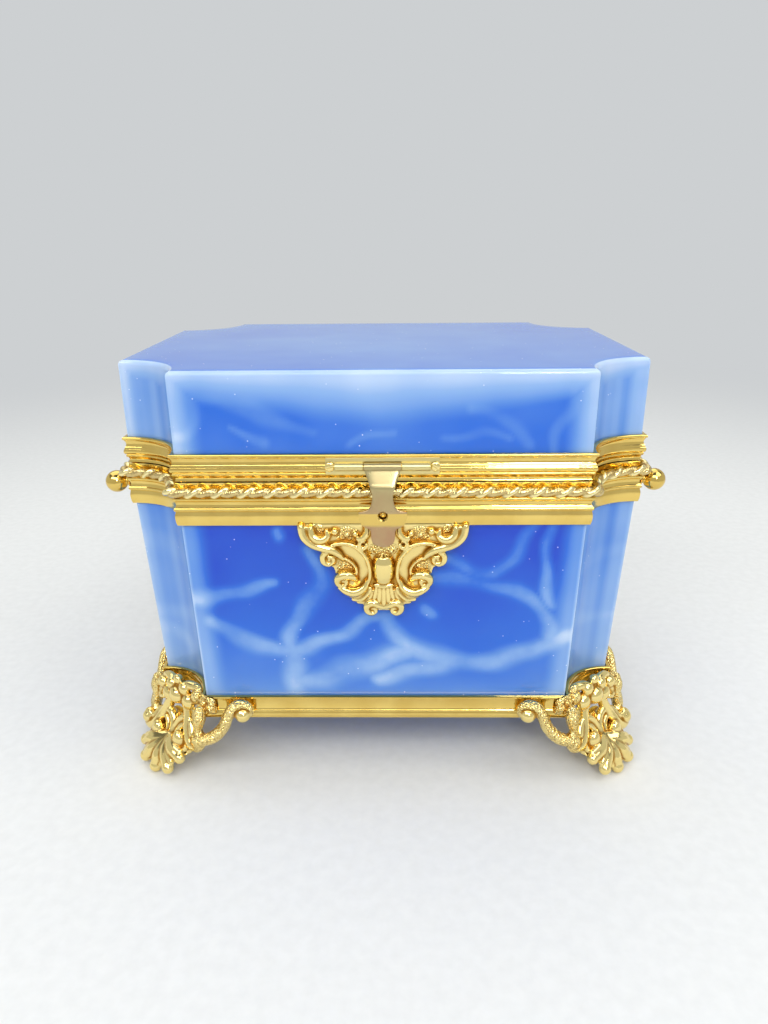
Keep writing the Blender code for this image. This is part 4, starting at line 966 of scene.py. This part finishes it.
# A foot. Rows are (across, out, up, radius) in mm from the corner of the plan, out along the diagonal, and are
# mirrored; arm rows are (along the side from the corner, out from the side, up, radius)
footCast = {
    "grain": 0.25 * mm,
    "sheet": [(0.0, 2.2), (1.4, 2.0), (4.5, -0.2), (8.7, -3.9), (12.0, -6.0), (15.2, -7.6), (20.0, -8.4),
              (23.0, -8.6), (30.0, -8.0)],
    "toes": [((0.0, 2.2, 2.1), 2.1), ((5.4, 1.7, 3.3), 2.05), ((8.3, -0.6, 6.7), 1.95)],
    "lobe": (0.92, 0.874, 0.92),  # a toe's egg, as shares of its size
    "flutes": ((0, 0.75, 0.35), (-1, 0.55, 0), (1, 0.55, 0)),  # beside the toe's middle, thickness, rise
    "fluteSpread": 0.72,
    "fluteGirths": (1.3, 1.25, 1.0),
    "hub": (0.0, -3.9, 9.4),
    "strands": [
        [(1.8, -3.0, 8.4, 0.9), (2.2, -4.7, 11.6, 1.05), (4.3, -5.8, 13.9, 1.1), (6.8, -5.2, 13.0, 1.1),
         (8.1, -3.6, 10.2, 1.0), (8.0, -2.5, 8.4, 0.8)],
        [(0.3, -3.3, 8.8, 1.1), (0.6, -5.4, 12.6, 1.25), (2.9, -6.7, 15.6, 1.3), (6.7, -6.4, 15.5, 1.25),
         (9.3, -4.8, 12.8, 1.1)],
        [(3.4, -7.8, 20.6, 1.6), (4.6, -7.4, 18.2, 1.6), (5.6, -6.5, 15.3, 1.8), (7.2, -5.1, 12.3, 1.9),
         (9.3, -4.2, 10.1, 1.8), (11.8, -4.4, 9.8, 1.6), (13.2, -4.8, 11.8, 1.4), (12.0, -4.8, 13.5, 1.2),
         (10.5, -4.5, 12.8, 1.0), (11.0, -4.0, 11.6, 0.9)],
        [(2.0, -8.2, 21.4, 1.5), (4.9, -8.4, 22.4, 1.6), (8.0, -8.9, 22.2, 1.5), (10.2, -8.8, 20.4, 1.3),
         (9.4, -8.0, 18.6, 1.0), (7.7, -7.6, 19.2, 0.9)],
        [(1.0, -8.4, 24.6, 1.5), (3.8, -8.8, 26.2, 1.4), (7.0, -9.4, 26.0, 1.3), (9.4, -9.7, 24.6, 1.1)],
        [(8.8, -9.3, 24.4, 1.0), (11.4, -9.5, 24.6, 1.2), (13.4, -9.3, 23.2, 1.3)],
        [(12.9, -9.2, 21.8, 1.8), (13.3, -9.6, 20.6, 1.5)],
        [(0.0, -8.4, 27.6, 1.1), (0.0, -8.7, 25.4, 1.5), (0.0, -8.8, 22.6, 1.6), (0.0, -8.6, 21.0, 1.4)],
        [(-3.2, -8.0, 19.9, 1.0), (0.0, -8.4, 19.7, 1.1), (3.2, -8.0, 19.9, 1.0)],
    ],
    "arms": [
        [(12.4, 4.4, 12.6, 1.5), (14.2, 4.9, 13.6, 1.8), (17.7, 5.0, 15.0, 1.9), (20.6, 4.6, 18.0, 1.8),
         (22.2, 4.2, 21.6, 1.7), (23.9, 3.9, 24.2, 1.6), (26.4, 3.6, 25.0, 1.4), (28.4, 3.4, 23.8, 1.1),
         (28.6, 3.4, 22.0, 0.9)],
        [(13.9, 3.4, 22.8, 1.5), (13.6, 3.6, 20.6, 2.0), (13.2, 3.6, 18.4, 1.7), (13.0, 3.8, 16.4, 1.3),
         (13.4, 4.3, 14.4, 1.5)],
        [(16.4, 5.8, 15.2, 0.7), (18.8, 5.8, 16.6, 0.75), (20.8, 5.4, 19.6, 0.7), (22.2, 5.0, 22.4, 0.6)],
    ],
    "ball": (26.3, 3.5, 21.6, 2.35),
    "petals": [
        (0.0, -7.2, 22.4, 2.5), (4.6, -7.8, 21.4, 2.3), (2.9, -7.9, 25.1, 1.9), (0.0, -8.0, 27.4, 1.4),
        (8.0, -8.2, 23.9, 1.8), (10.9, -8.6, 22.9, 1.5),
        (12.0, -4.2, 11.8, 1.9), (0.0, 0.4, 6.4, 1.5), (3.7, 0.2, 6.6, 1.3), (6.4, -1.4, 8.6, 1.2),
    ],
    "bosses": ((5.0, -2.9, 10.4), (2.2, 1.9, 3.2)),
    "skew": (0.12, 0.08),  # the casting leans: how far out and up one side goes for each mm across
    "web": {"rows": 15, "half": 8.6, "low": 6.4, "high": 15.6, "narrow": 0.4, "depths": (0.1, 2.4)},
    "matFrom": (10.5, 12.5),  # mm along the arm from the corner, where the matting comes in
    "clear": 1.85 * mm,
    "reach": (78.4 * mm, 54.1 * mm),  # no casting stands out further than this
    "sink": 0.25 * mm,  # filed off where it stands on the table
}


# Moves what lies within the moulding's offset plan out to it, by the shortest way: to the side, or into the cove
def clearOfBand(skin, look):
    above = skin[:, 2] > levels["baseBottom"] - 0.3 * mm
    sign = np.sign(skin[:, :2])
    u, v = (np.abs(skin[:, :2]) - (base[0], base[1])).T
    gap = look["clear"]
    reach = np.hypot(u, v)
    arc = base[2] - gap
    inside = above & (u < gap) & (v < gap) & (reach > arc)
    ways = np.stack([gap - u, gap - v, reach - arc], axis=-1)
    best = ways.argmin(axis=1)
    scale = arc / np.maximum(reach, 1e-9)
    newU = np.where(best == 0, gap, np.where(best == 2, u * scale, u))
    newV = np.where(best == 1, gap, np.where(best == 2, v * scale, v))
    moved = np.stack([newU + base[0], newV + base[1]], axis=-1) * sign
    skin[inside, :2] = moved[inside]
    return skin


def makeFoot(name, x, y, look):
    corner = np.array([x * base[0], y * base[1], 0])
    out = np.array([x, y, 0]) / math.sqrt(2)
    across = np.array([-x, y, 0]) / math.sqrt(2)
    up = np.array([0, 0, 1.0])
    facing = (across, out, up)

    def at(rows):
        rows = np.asarray(rows, float)[..., :3] * mm
        lean = rows[..., :1] * np.array(look["skew"])
        outBy = (rows[..., 1:2] - lean[..., :1]) * out
        return corner + rows[..., :1] * across + outBy + (rows[..., 2:] + lean[..., 1:]) * up

    def wing(side, rows):
        rows = np.asarray(rows, float)[..., :3] * mm
        along, away = ((-x, 0, 0), (0, y, 0)) if side > 0 else ((0, -y, 0), (x, 0, 0))
        return corner + rows[..., :1] * np.array(along) + rows[..., 1:2] * np.array(away) + rows[..., 2:] * up

    shapes = []
    hub = np.array(look["hub"])
    for tip, size in look["toes"]:  # an egg at the tip, and three flutes that run to it from the hub
        for side in (1, -1) if tip[0] else (1,):
            end = np.array(tip) * (side, 1, 1)
            middle = (hub + end) / 2 + (0, 1.0, 0.3)
            shapes.append(egg(at(end + (0, 0.2, 0)), np.array(look["lobe"]) * size * mm, facing))
            beside = np.cross(end - hub, (0, 1, 0))
            beside = beside / np.linalg.norm(beside)
            for shift, thick, rise in look["flutes"]:
                spread = beside * shift * size * look["fluteSpread"]
                lift = np.array([0, rise, 0])
                short = 0.12 * abs(shift) * (hub - end)
                rows = np.array([hub + 0.25 * spread, middle + 0.8 * spread + lift, end + short + spread + lift])
                girths = np.array(look["fluteGirths"]) * size * thick
                shapes.append(sweep(np.column_stack([at(rows), girths * mm]), lean=out))
    for strand in look["strands"]:
        for side in (1, -1):
            rows = np.array(strand) * (side, 1, 1, 1)
            shapes.append(sweep(np.column_stack([at(rows), rows[:, 3] * mm]), lean=out, count=48))
    for arm in look["arms"]:
        for side in (1, -1):
            rows = np.array(arm)
            lean = (0, y, 0) if side > 0 else (x, 0, 0)
            shapes.append(sweep(np.column_stack([wing(side, rows), rows[:, 3] * mm]), lean=lean, count=48))
    *ballPlace, ballSize = look["ball"]
    shapes += [egg(wing(side, ballPlace), [ballSize * mm] * 3, np.eye(3), 20, 32) for side in (1, -1)]
    for s, o, z, size in look["petals"]:
        for side in (1, -1) if s else (1,):
            shapes.append(egg(at([side * s, o, z]), np.array([1.1, 0.9, 1.1]) * size * mm, facing))
    where, sizes = look["bosses"]
    shapes += [egg(at(np.array(where) * (side, 1, 1)), np.array(sizes) * mm, facing) for side in (1, -1)]
    web = look["web"]  # the thin plate behind the toes: two grids, joined round their edge
    n = web["rows"]
    s, z = np.meshgrid(np.linspace(-web["half"], web["half"], n), np.linspace(web["low"], web["high"], n))
    s = s * (1 - web["narrow"] * np.clip((z - web["low"]) / (web["high"] - web["low"]), 0, 1) ** 2)
    o = np.interp(z, *np.array(look["sheet"]).T)
    points = np.vstack([at(np.stack([s, o - depth, z], axis=-1)).reshape(-1, 3) for depth in web["depths"]])
    step = np.arange(1, n)
    loop = np.concatenate([np.arange(n), n * step + n - 1, n * n - 1 - step, n * step[-2::-1]])
    sides = np.stack([loop, np.roll(loop, -1), np.roll(loop, -1) + n * n, loop + n * n], axis=-1)
    flat = gridFaces(n, n, roundColumns=False)
    shapes.append((points, [*flat[:, ::-1].tolist(), *(flat + n * n).tolist(), *sides.tolist()]))

    def fit(skin):
        skin = clearOfBand(skin.copy(), look)
        reach = np.array(look["reach"])
        skin[:, :2] = np.clip(skin[:, :2], -reach, reach)
        skin[:, 2] = np.maximum(skin[:, 2] - look["sink"], 0)
        return skin

    def matting(skin):
        along = np.maximum(base[0] - np.abs(skin[:, 0]), base[1] - np.abs(skin[:, 1])) / mm
        fromBall = np.hypot(along - ballPlace[0], skin[:, 2] / mm - ballPlace[2])
        return smooth(along, *look["matFrom"]) * smooth(fromBall, ballSize, ballSize + 0.5)

    return castPiece(name + "_cast", shapes, look["grain"], fit, matting, "body")


for depthName, y in (("front", -1), ("back", 1)):
    for sideName, x in (("left", -1), ("right", 1)):
        makeFoot(f"foot_{depthName}_{sideName}", x, y, footCast)
print("feet cast")


# Cuts closed shapes away from a piece with an exact Boolean, then puts back the shading
def cutAway(piece, shapes, crease=35):
    mesh = newMesh("cutter", *gather(shapes))
    cutter = addObject("cutter", mesh)
    cut = piece.modifiers.new("cut", "BOOLEAN")
    cut.object, cut.operation, cut.solver, cut.use_self = cutter, "DIFFERENCE", "EXACT", True
    done = bpy.data.meshes.new_from_object(worked(piece))
    piece.modifiers.remove(cut)
    old = piece.data
    piece.data = done
    bpy.data.meshes.remove(old)
    bpy.data.objects.remove(cutter)
    bpy.data.meshes.remove(mesh)
    shade(done, crease)


# A closed bar: a profile of (y, z) carried along x between two ends, drawn in a little at both to break the edges
def barGrid(profile, start, end, edge=0.08 * mm):
    profile = np.asarray(profile, float)
    tangent = np.roll(profile, -1, axis=0) - np.roll(profile, 1, axis=0)
    normal = np.stack([tangent[:, 1], -tangent[:, 0]], axis=-1)
    normal /= np.linalg.norm(normal, axis=1)[:, None]
    area = np.sum(profile[:, 0] * np.roll(profile[:, 1], -1) - np.roll(profile[:, 0], -1) * profile[:, 1])
    drawn = profile - normal * edge * np.sign(area)
    places = ((start, drawn), (start + edge, profile), (end - edge, profile), (end, drawn))
    points = np.vstack([np.column_stack([np.full(len(profile), x), ring]) for x, ring in places])
    n = len(profile)
    body = gridFaces(4, n)
    caps = [tuple(range(n)), tuple(range(3 * n, 4 * n))[::-1]]
    faces = [tuple(face) for face in body[:, ::-1].tolist()] + caps
    if area < 0:
        faces = [face[::-1] for face in faces]
    return points, faces


# A slab's outline with rounded corners, in (y, z)
def slabProfile(low, high, radius, steps=4):
    turn = np.linspace(0, math.pi / 2, steps + 1)
    rows = []
    for quarter, (y, z) in enumerate(((1, 1), (-1, 1), (-1, -1), (1, -1))):
        centre = np.where((y, z) > np.zeros(2), np.array(high) - radius, np.array(low) + radius)
        angle = turn + quarter * math.pi / 2
        rows.append(centre + radius * np.stack([np.cos(angle), np.sin(angle)], axis=-1))
    return np.vstack(rows)


# Half the section of a short cylinder for turnedGrid, its ends drawn in by `edge` and stopping `inset` under the skin
def barrelProfile(start, end, radius, edge, inset):
    near = [(start, radius - inset), (start, radius - edge), (start + edge, radius)]
    return near + [(end - edge, radius), (end, radius - edge), (end, radius - inset)]


haspLook = {
    "axis": (0.0, -51.5 * mm, 95.9 * mm),
    "barrel": 1.05,
    "knuckleHalf": 4.7,
    "thickness": 0.8 * mm,
    "line": [  # out from the glass, height, width: the inner face, down from the barrel
        (2.1, 95.4, 9.4), (2.2, 94.8, 9.3), (2.63, 93.8, 8.6), (3.07, 92.8, 7.8), (3.5, 91.8, 7.2),
        (3.86, 91.0, 6.7), (3.88, 90.1, 6.1), (3.88, 88.8, 5.6), (3.88, 87.7, 5.8), (3.85, 86.3, 6.5),
        (3.8, 85.4, 7.9), (3.78, 84.95, 10.0), (3.75, 84.5, 12.6), (3.68, 82.8, 12.4), (3.6, 81.4, 11.6),
        (3.5, 80.6, 10.0), (3.43, 79.9, 7.4), (3.35, 79.0, 6.6), (3.17, 77.0, 6.4), (3.05, 75.5, 5.0),
        (3.0, 74.8, 2.6),
    ],
    "rings": 120,
    "sides": 40,
    "square": (0.45, 0.6),  # powers that square off the oval section, across and through
    "eye": 1.0,  # mm, as is the bevel
    "eyeBevel": 0.5,
    "bevelFrom": 4.15,  # out from the glass
    "eyeLevel": 83.5 * mm,
}


# The hasp: a flat strip of changing width with rounded edges (a squared-off oval) carried down the line of its
# inner face, a knuckle rolled at the top, and the stud's eye cut through
def makeHasp(look):
    rings, sides = look["rings"], look["sides"]
    path = flow(look["line"], rings) * mm
    out, z, width = path[:, :1], path[:, 1:2], path[:, 2:]
    slope = np.gradient(path[:, :2], axis=0)
    slope /= np.hypot(*slope.T)[:, None]
    away = np.stack([-slope[:, 1], slope[:, 0]], axis=-1)
    around = np.linspace(0, 2 * math.pi, sides, endpoint=False)
    half = look["thickness"] / 2
    flatX, flatY = (np.sign(v) * np.abs(v) ** p for v, p in zip((np.cos(around), np.sin(around)), look["square"]))
    tip = np.sqrt(np.clip(np.linspace(18, 0, rings), 0, 1))[:, None]  # rounds the last eighteenth
    x = flatX * (width / 2 - half * 0.5) * tip
    y = front - (out + away[:, :1] * half + flatY * half * away[:, :1])
    level = z + away[:, 1:] * half + flatY * half * away[:, 1:]
    grid = np.stack([x, y, level], axis=-1).reshape(-1, 3)
    ends = [grid[:sides].mean(axis=0), grid[-sides:].mean(axis=0)]
    knuckle = barrelProfile(-look["knuckleHalf"], look["knuckleHalf"], look["barrel"], 0.12, 0.5)
    shapes = [(np.vstack([grid, ends]), polarFaces(rings, sides)), turnedGrid(knuckle, look["axis"], (1, 0, 0), 40)]
    points, faces = gather(shapes)
    piece = addPiece("hasp_strap", points, faces, haspFinish, "hasp", ("hasp",), crease=40)
    eye, rim = look["eye"], look["eye"] + look["eyeBevel"]
    start = look["bevelFrom"]
    drill = [(0, eye), (start, eye), (start + look["eyeBevel"], rim), (8, rim)]
    cutAway(piece, [turnedGrid(drill, (0, front, look["eyeLevel"]), (0, -1, 0), 40)])


haspMount = {
    "face": -50.95 * mm,
    "back": -50.45 * mm,
    "below": 2.1 * mm,  # the plate's edges, from the axis
    "above": 2.24 * mm,
    "half": 14.3 * mm,
    "knuckle": (0, 7.2, 4.8 * mm),  # its two ends in mm, and where it starts
    "rodHalf": 11.7,
    "screwAt": 13.2 * mm,
    "screw": [
        (-0.9, 0.1), (-0.9, 0.5), (0.0, 0.5), (0.0, 1.18), (0.06, 1.24), (0.26, 1.24), (0.44, 1.1), (0.56, 0.8),
        (0.62, 0.4), (0.63, 0.05),
    ],
    "slotHalf": 0.2 * mm,
}


# The plate with its two knuckles, cut away between them for the hasp's own, the rod through them and two screws
def makeHaspMount(hinge, look):
    _, y, z = hinge["axis"]
    face, back = look["face"], look["back"]
    outline = slabProfile((face, z - look["below"]), (back, z + look["above"]), 0.12 * mm)
    start, end, inner = look["knuckle"]
    knuckle = barrelProfile(start, end, hinge["barrel"], 0.12, 0.5)
    shapes = [barGrid(outline, -look["half"], look["half"])]
    shapes += [turnedGrid(knuckle, (side * inner, y, z), (side, 0, 0), 40) for side in (1, -1)]
    points, faces = gather(shapes)
    piece = addPiece(
        "hasp_plate", points, faces, mountFinish, "lid", ("hasp_hinge_plate",), crease=35
    )
    gate = slabProfile((y - 1.35 * mm, z - 1.25 * mm), (back + 1 * mm, z + 1.25 * mm), 0.1 * mm)
    cutAway(piece, [barGrid(gate, -inner, inner)])
    rod = barrelProfile(-look["rodHalf"], look["rodHalf"], 0.45, 0.1, 0.35)
    addTurned("hasp_rod", "hasp_pin", rod, hinge["axis"], (1, 0, 0), 24, mountFinish, "lid")
    for name, side in (("hasp_screw_left", -1), ("hasp_screw_right", 1)):
        where = (side * look["screwAt"], face - 0.3 * mm, z)
        screw = addTurned(name + "_turned", name, look["screw"], where, (0, -1, 0), 40, castFinish, "lid")
        low = (where[1] - 1.5 * mm, z - look["slotHalf"])
        slot = slabProfile(low, (where[1] - 0.3 * mm, z + look["slotHalf"]), 0.02 * mm)
        points, faces = barGrid(slot, where[0] - 2 * mm, where[0] + 2 * mm)
        c, s = math.cos(0.5 * side + 0.2), math.sin(0.5 * side + 0.2)
        spin = np.array([[c, 0, s], [0, 1, 0], [-s, 0, c]])
        middle = (where[0], 0, z)
        cutAway(screw, [((points - middle) @ spin.T + middle, faces)])


def makeStud():
    profile = [(0.35, 0.1), (0.35, 0.8), (2.6, 0.8), (2.95, 0.78), (3.2, 0.62), (3.32, 0.35), (3.35, 0.08)]
    centre = (0, front, haspLook["eyeLevel"])
    addTurned("catch_stud_turned", "catch_stud", profile, centre, (0, -1, 0), 40, stripFinish, "body", [0, 2])


makeHasp(haspLook)
makeHaspMount(haspLook, haspMount)
makeStud()
print("hasp made")

backHinge = {
    "axis": (52.55 * mm, 91.45 * mm),
    "outer": 1.6 * mm,
    "leaf": 0.7 * mm,
    "half": 30.0 * mm,
    "gap": 0.3 * mm,
    "knuckles": 5,
    "leafHeight": 5.5 * mm,
    "wrap": 292,  # degrees that the metal goes round the pin
    "pinEnd": [(30.3, 0.75), (30.3, 1.2), (30.5, 1.15), (30.75, 0.85), (30.88, 0.4), (30.9, 0.1)],
}


# One leaf of the back hinge: a flat strip, and at every other place a tongue of it rolled round the pin. The rolled
# section is an arc of the outer radius, and back along an arc of the radius less the metal's thickness
def makeHingeLeaf(name, up, spans, body, look):
    cy, cz = look["axis"]
    outer, inner = look["outer"], look["outer"] - look["leaf"]
    wall = cy - outer
    turn = np.radians(np.linspace(0, look["wrap"], 48))
    roll = np.stack([cy - outer * np.cos(turn), cz - up * outer * np.sin(turn)], axis=-1)
    bore = np.stack([cy - inner * np.cos(turn[::-1]), cz - up * inner * np.sin(turn[::-1])], axis=-1)
    near = cz + up * (outer + look["gap"])
    far = near + up * look["leafHeight"]
    tab = near + up * 1.0 * mm
    tongue = np.vstack([[(wall, tab)], roll, bore, [(wall + look["leaf"], tab)]])
    strip = slabProfile((wall, min(near, far)), (wall + look["leaf"], max(near, far)), 0.2 * mm)
    shapes = [barGrid(strip, -look["half"], look["half"], 0.15 * mm)]
    shapes += [barGrid(tongue, start, end) for start, end in spans]
    points, faces = gather(shapes)
    uv = points[:, [0, 2]]
    addPiece(name + "_rolled", points, faces, stripFinish, body, (name,), uv=uv, crease=35)


def makeBackHinge(look):
    pitch = (2 * look["half"] + look["gap"]) / look["knuckles"]
    starts = [-look["half"] + i * pitch for i in range(look["knuckles"])]
    spans = [(start, start + pitch - look["gap"]) for start in starts]
    makeHingeLeaf("body_hinge_leaf", -1, spans[0::2], "body", look)
    makeHingeLeaf("lid_hinge_leaf", 1, spans[1::2], "lid", look)
    profile = [(-along, radius) for along, radius in reversed(look["pinEnd"])] + look["pinEnd"]
    centre = (0, *look["axis"])
    addTurned("hinge_rod", "hinge_pin", profile, centre, (1, 0, 0), 32, stripFinish, "body", [0, 2])


makeBackHinge(backHinge)
for name in ("lid_cement", "body_cement", "base_cement"):
    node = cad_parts[name]
    node.data.materials.clear()
    node.data.materials.append(plasterFinish)
print("hinge and plaster done")

studio = {
    "floor": ((0.3, "#dfe0de"), (0.7, "#e4e5e3")),
    "half": 3.0,  # of the floor's width and its run in front, m
    "depth": 1.2,  # where it starts to curve up
    "bend": 0.5,
    "height": 3.0,
    "wall": "#cdd0d2",  # the backdrop's own pale tone, seen without lamps on it
    "glowReach": (0.22, 0.75),  # m from the box, where that tone takes over from the lit paper
    "dome": ((0.0, "#cdd0d2"), (0.45, "#cdd0d2"), (0.6, "#787c80"), (1.0, "#4c5054")),
    "worldLight": 0.84,
    "lamps": [  # name, place, aim, width, height, watts (metres)
        ("key", (-0.2, -0.8, 0.9), (0, 0, 0.06), 1.5, 0.4, 8.8),
        ("fill", (0.6, -0.3, 0.95), (0, 0, 0.06), 0.7, 0.7, 4.0),
        ("top", (-0.15, 0.35, 1.05), (0, 0, 0.08), 1.6, 1.1, 7.0),
        ("glint", (0.22, -0.9, 0.5), (0, 0, 0.05), 0.12, 0.12, 1.3),
    ],
}


# 1 for the rays that the eye follows (straight, mirrored or through glass), 0 for light that falls on a surface
def eyeRays(tree):
    rays = put(tree, "LightPath")
    seen = put(tree, "Math", {0: rays.outputs["Is Camera Ray"], 1: rays.outputs["Is Glossy Ray"]}, operation="ADD")
    return put(tree, "Math", {0: seen, 1: rays.outputs["Is Transmission Ray"]}, operation="ADD", use_clamp=True)


# Floor that curves up into a backdrop: a flat run, a quarter circle and a wall, the same right across
def makeStage(look):
    bend, half = look["bend"], look["half"]
    turn = np.linspace(0, math.pi / 2, 24)
    run = np.concatenate([[-half], look["depth"] + bend * np.sin(turn), [look["depth"] + bend]])
    rise = np.concatenate([[0.0], bend * (1 - np.cos(turn)), [look["height"]]])
    points = np.stack(np.broadcast_arrays([[-half, half]], run[:, None], rise[:, None]), axis=-1).reshape(-1, 3)
    mesh = newMesh("studio_floor", points, gridFaces(len(run), 2, roundColumns=False).tolist())
    mesh.shade_smooth()
    floor = addObject("studio_floor", mesh)
    finish, tree, shader = newFinish("matt_paper")
    place = put(tree, "TexCoord").outputs["Object"]
    fibre = put(tree, "TexNoise", {"Vector": place, "Scale": 300.0, "Detail": 2.0})
    colour = put(tree, "ValToRGB", {"Fac": fibre}, stops=look["floor"])
    wire(tree, shader, {"Base Color": colour, "Roughness": 0.9})
    away = put(tree, "VectorMath", {0: place}, operation="LENGTH").outputs["Value"]
    low, high = look["glowReach"]
    glow = put(tree, "MapRange", {"Value": away, "From Min": low, "From Max": high}, interpolation_type="SMOOTHSTEP")
    share = put(tree, "Math", {0: glow, 1: eyeRays(tree)}, operation="MULTIPLY")
    wall = put(tree, "Emission", {"Color": linearColour(look["wall"]), "Strength": 1.0})
    both = put(tree, "MixShader", {0: share, 1: shader, 2: wall})
    wire(tree, tree.nodes["Material Output"], {"Surface": both})
    mesh.materials.append(finish)


def makeLight(look):
    for name, place, aim, wide, tall, watts in look["lamps"]:
        lamp = bpy.data.lights.new(name, "AREA")
        lamp.shape, lamp.size, lamp.size_y, lamp.energy = "RECTANGLE", wide, tall, watts
        stand = addObject(name, lamp)
        stand.location = place
        x, y, z = np.array(aim, float) - place
        stand.rotation_euler = (math.atan2(math.hypot(x, y), -z), 0, math.atan2(-x, y))
        stand.visible_camera = False
    world = bpy.data.worlds.new("studio")
    bpy.context.scene.world = world
    world.use_nodes = True
    tree = world.node_tree
    way = put(tree, "SeparateXYZ", {"Vector": put(tree, "TexCoord").outputs["Generated"]})
    dome = put(tree, "ValToRGB", {"Fac": way.outputs["Z"]}, stops=look["dome"])
    strength = put(tree, "MapRange", {"Value": eyeRays(tree), "To Min": look["worldLight"], "To Max": 1.0})
    wire(tree, tree.nodes["Background"], {"Color": dome, "Strength": strength})


makeStage(studio)
makeLight(studio)

view = {
    "place": (3.194 * mm, -227.681 * mm, 150.7 * mm),
    "pitch": 20.76,
    "yaw": -0.95,
    "roll": -0.51,
    "lens": 26.02,
}


def makeCamera(look):
    pitch, yaw, roll = (math.radians(look[name]) for name in ("pitch", "yaw", "roll"))
    ahead = np.array([math.sin(yaw) * math.cos(pitch), math.cos(yaw) * math.cos(pitch), -math.sin(pitch)])
    right = np.array([math.cos(yaw), -math.sin(yaw), 0])
    up = np.cross(right, ahead)
    side = math.cos(roll) * right + math.sin(roll) * up
    top = -math.sin(roll) * right + math.cos(roll) * up
    lens = bpy.data.cameras.new("camera")
    lens.lens, lens.sensor_width, lens.clip_start = look["lens"], 36.0, 0.01
    camera = addObject("camera", lens)
    matrix = np.eye(4)
    matrix[:3] = np.column_stack([side, top, -ahead, look["place"]])
    camera.matrix_world = Matrix(matrix.tolist())
    bpy.context.scene.camera = camera


makeCamera(view)
bpy.context.scene.view_settings.view_transform = "Standard"
print("studio ready")
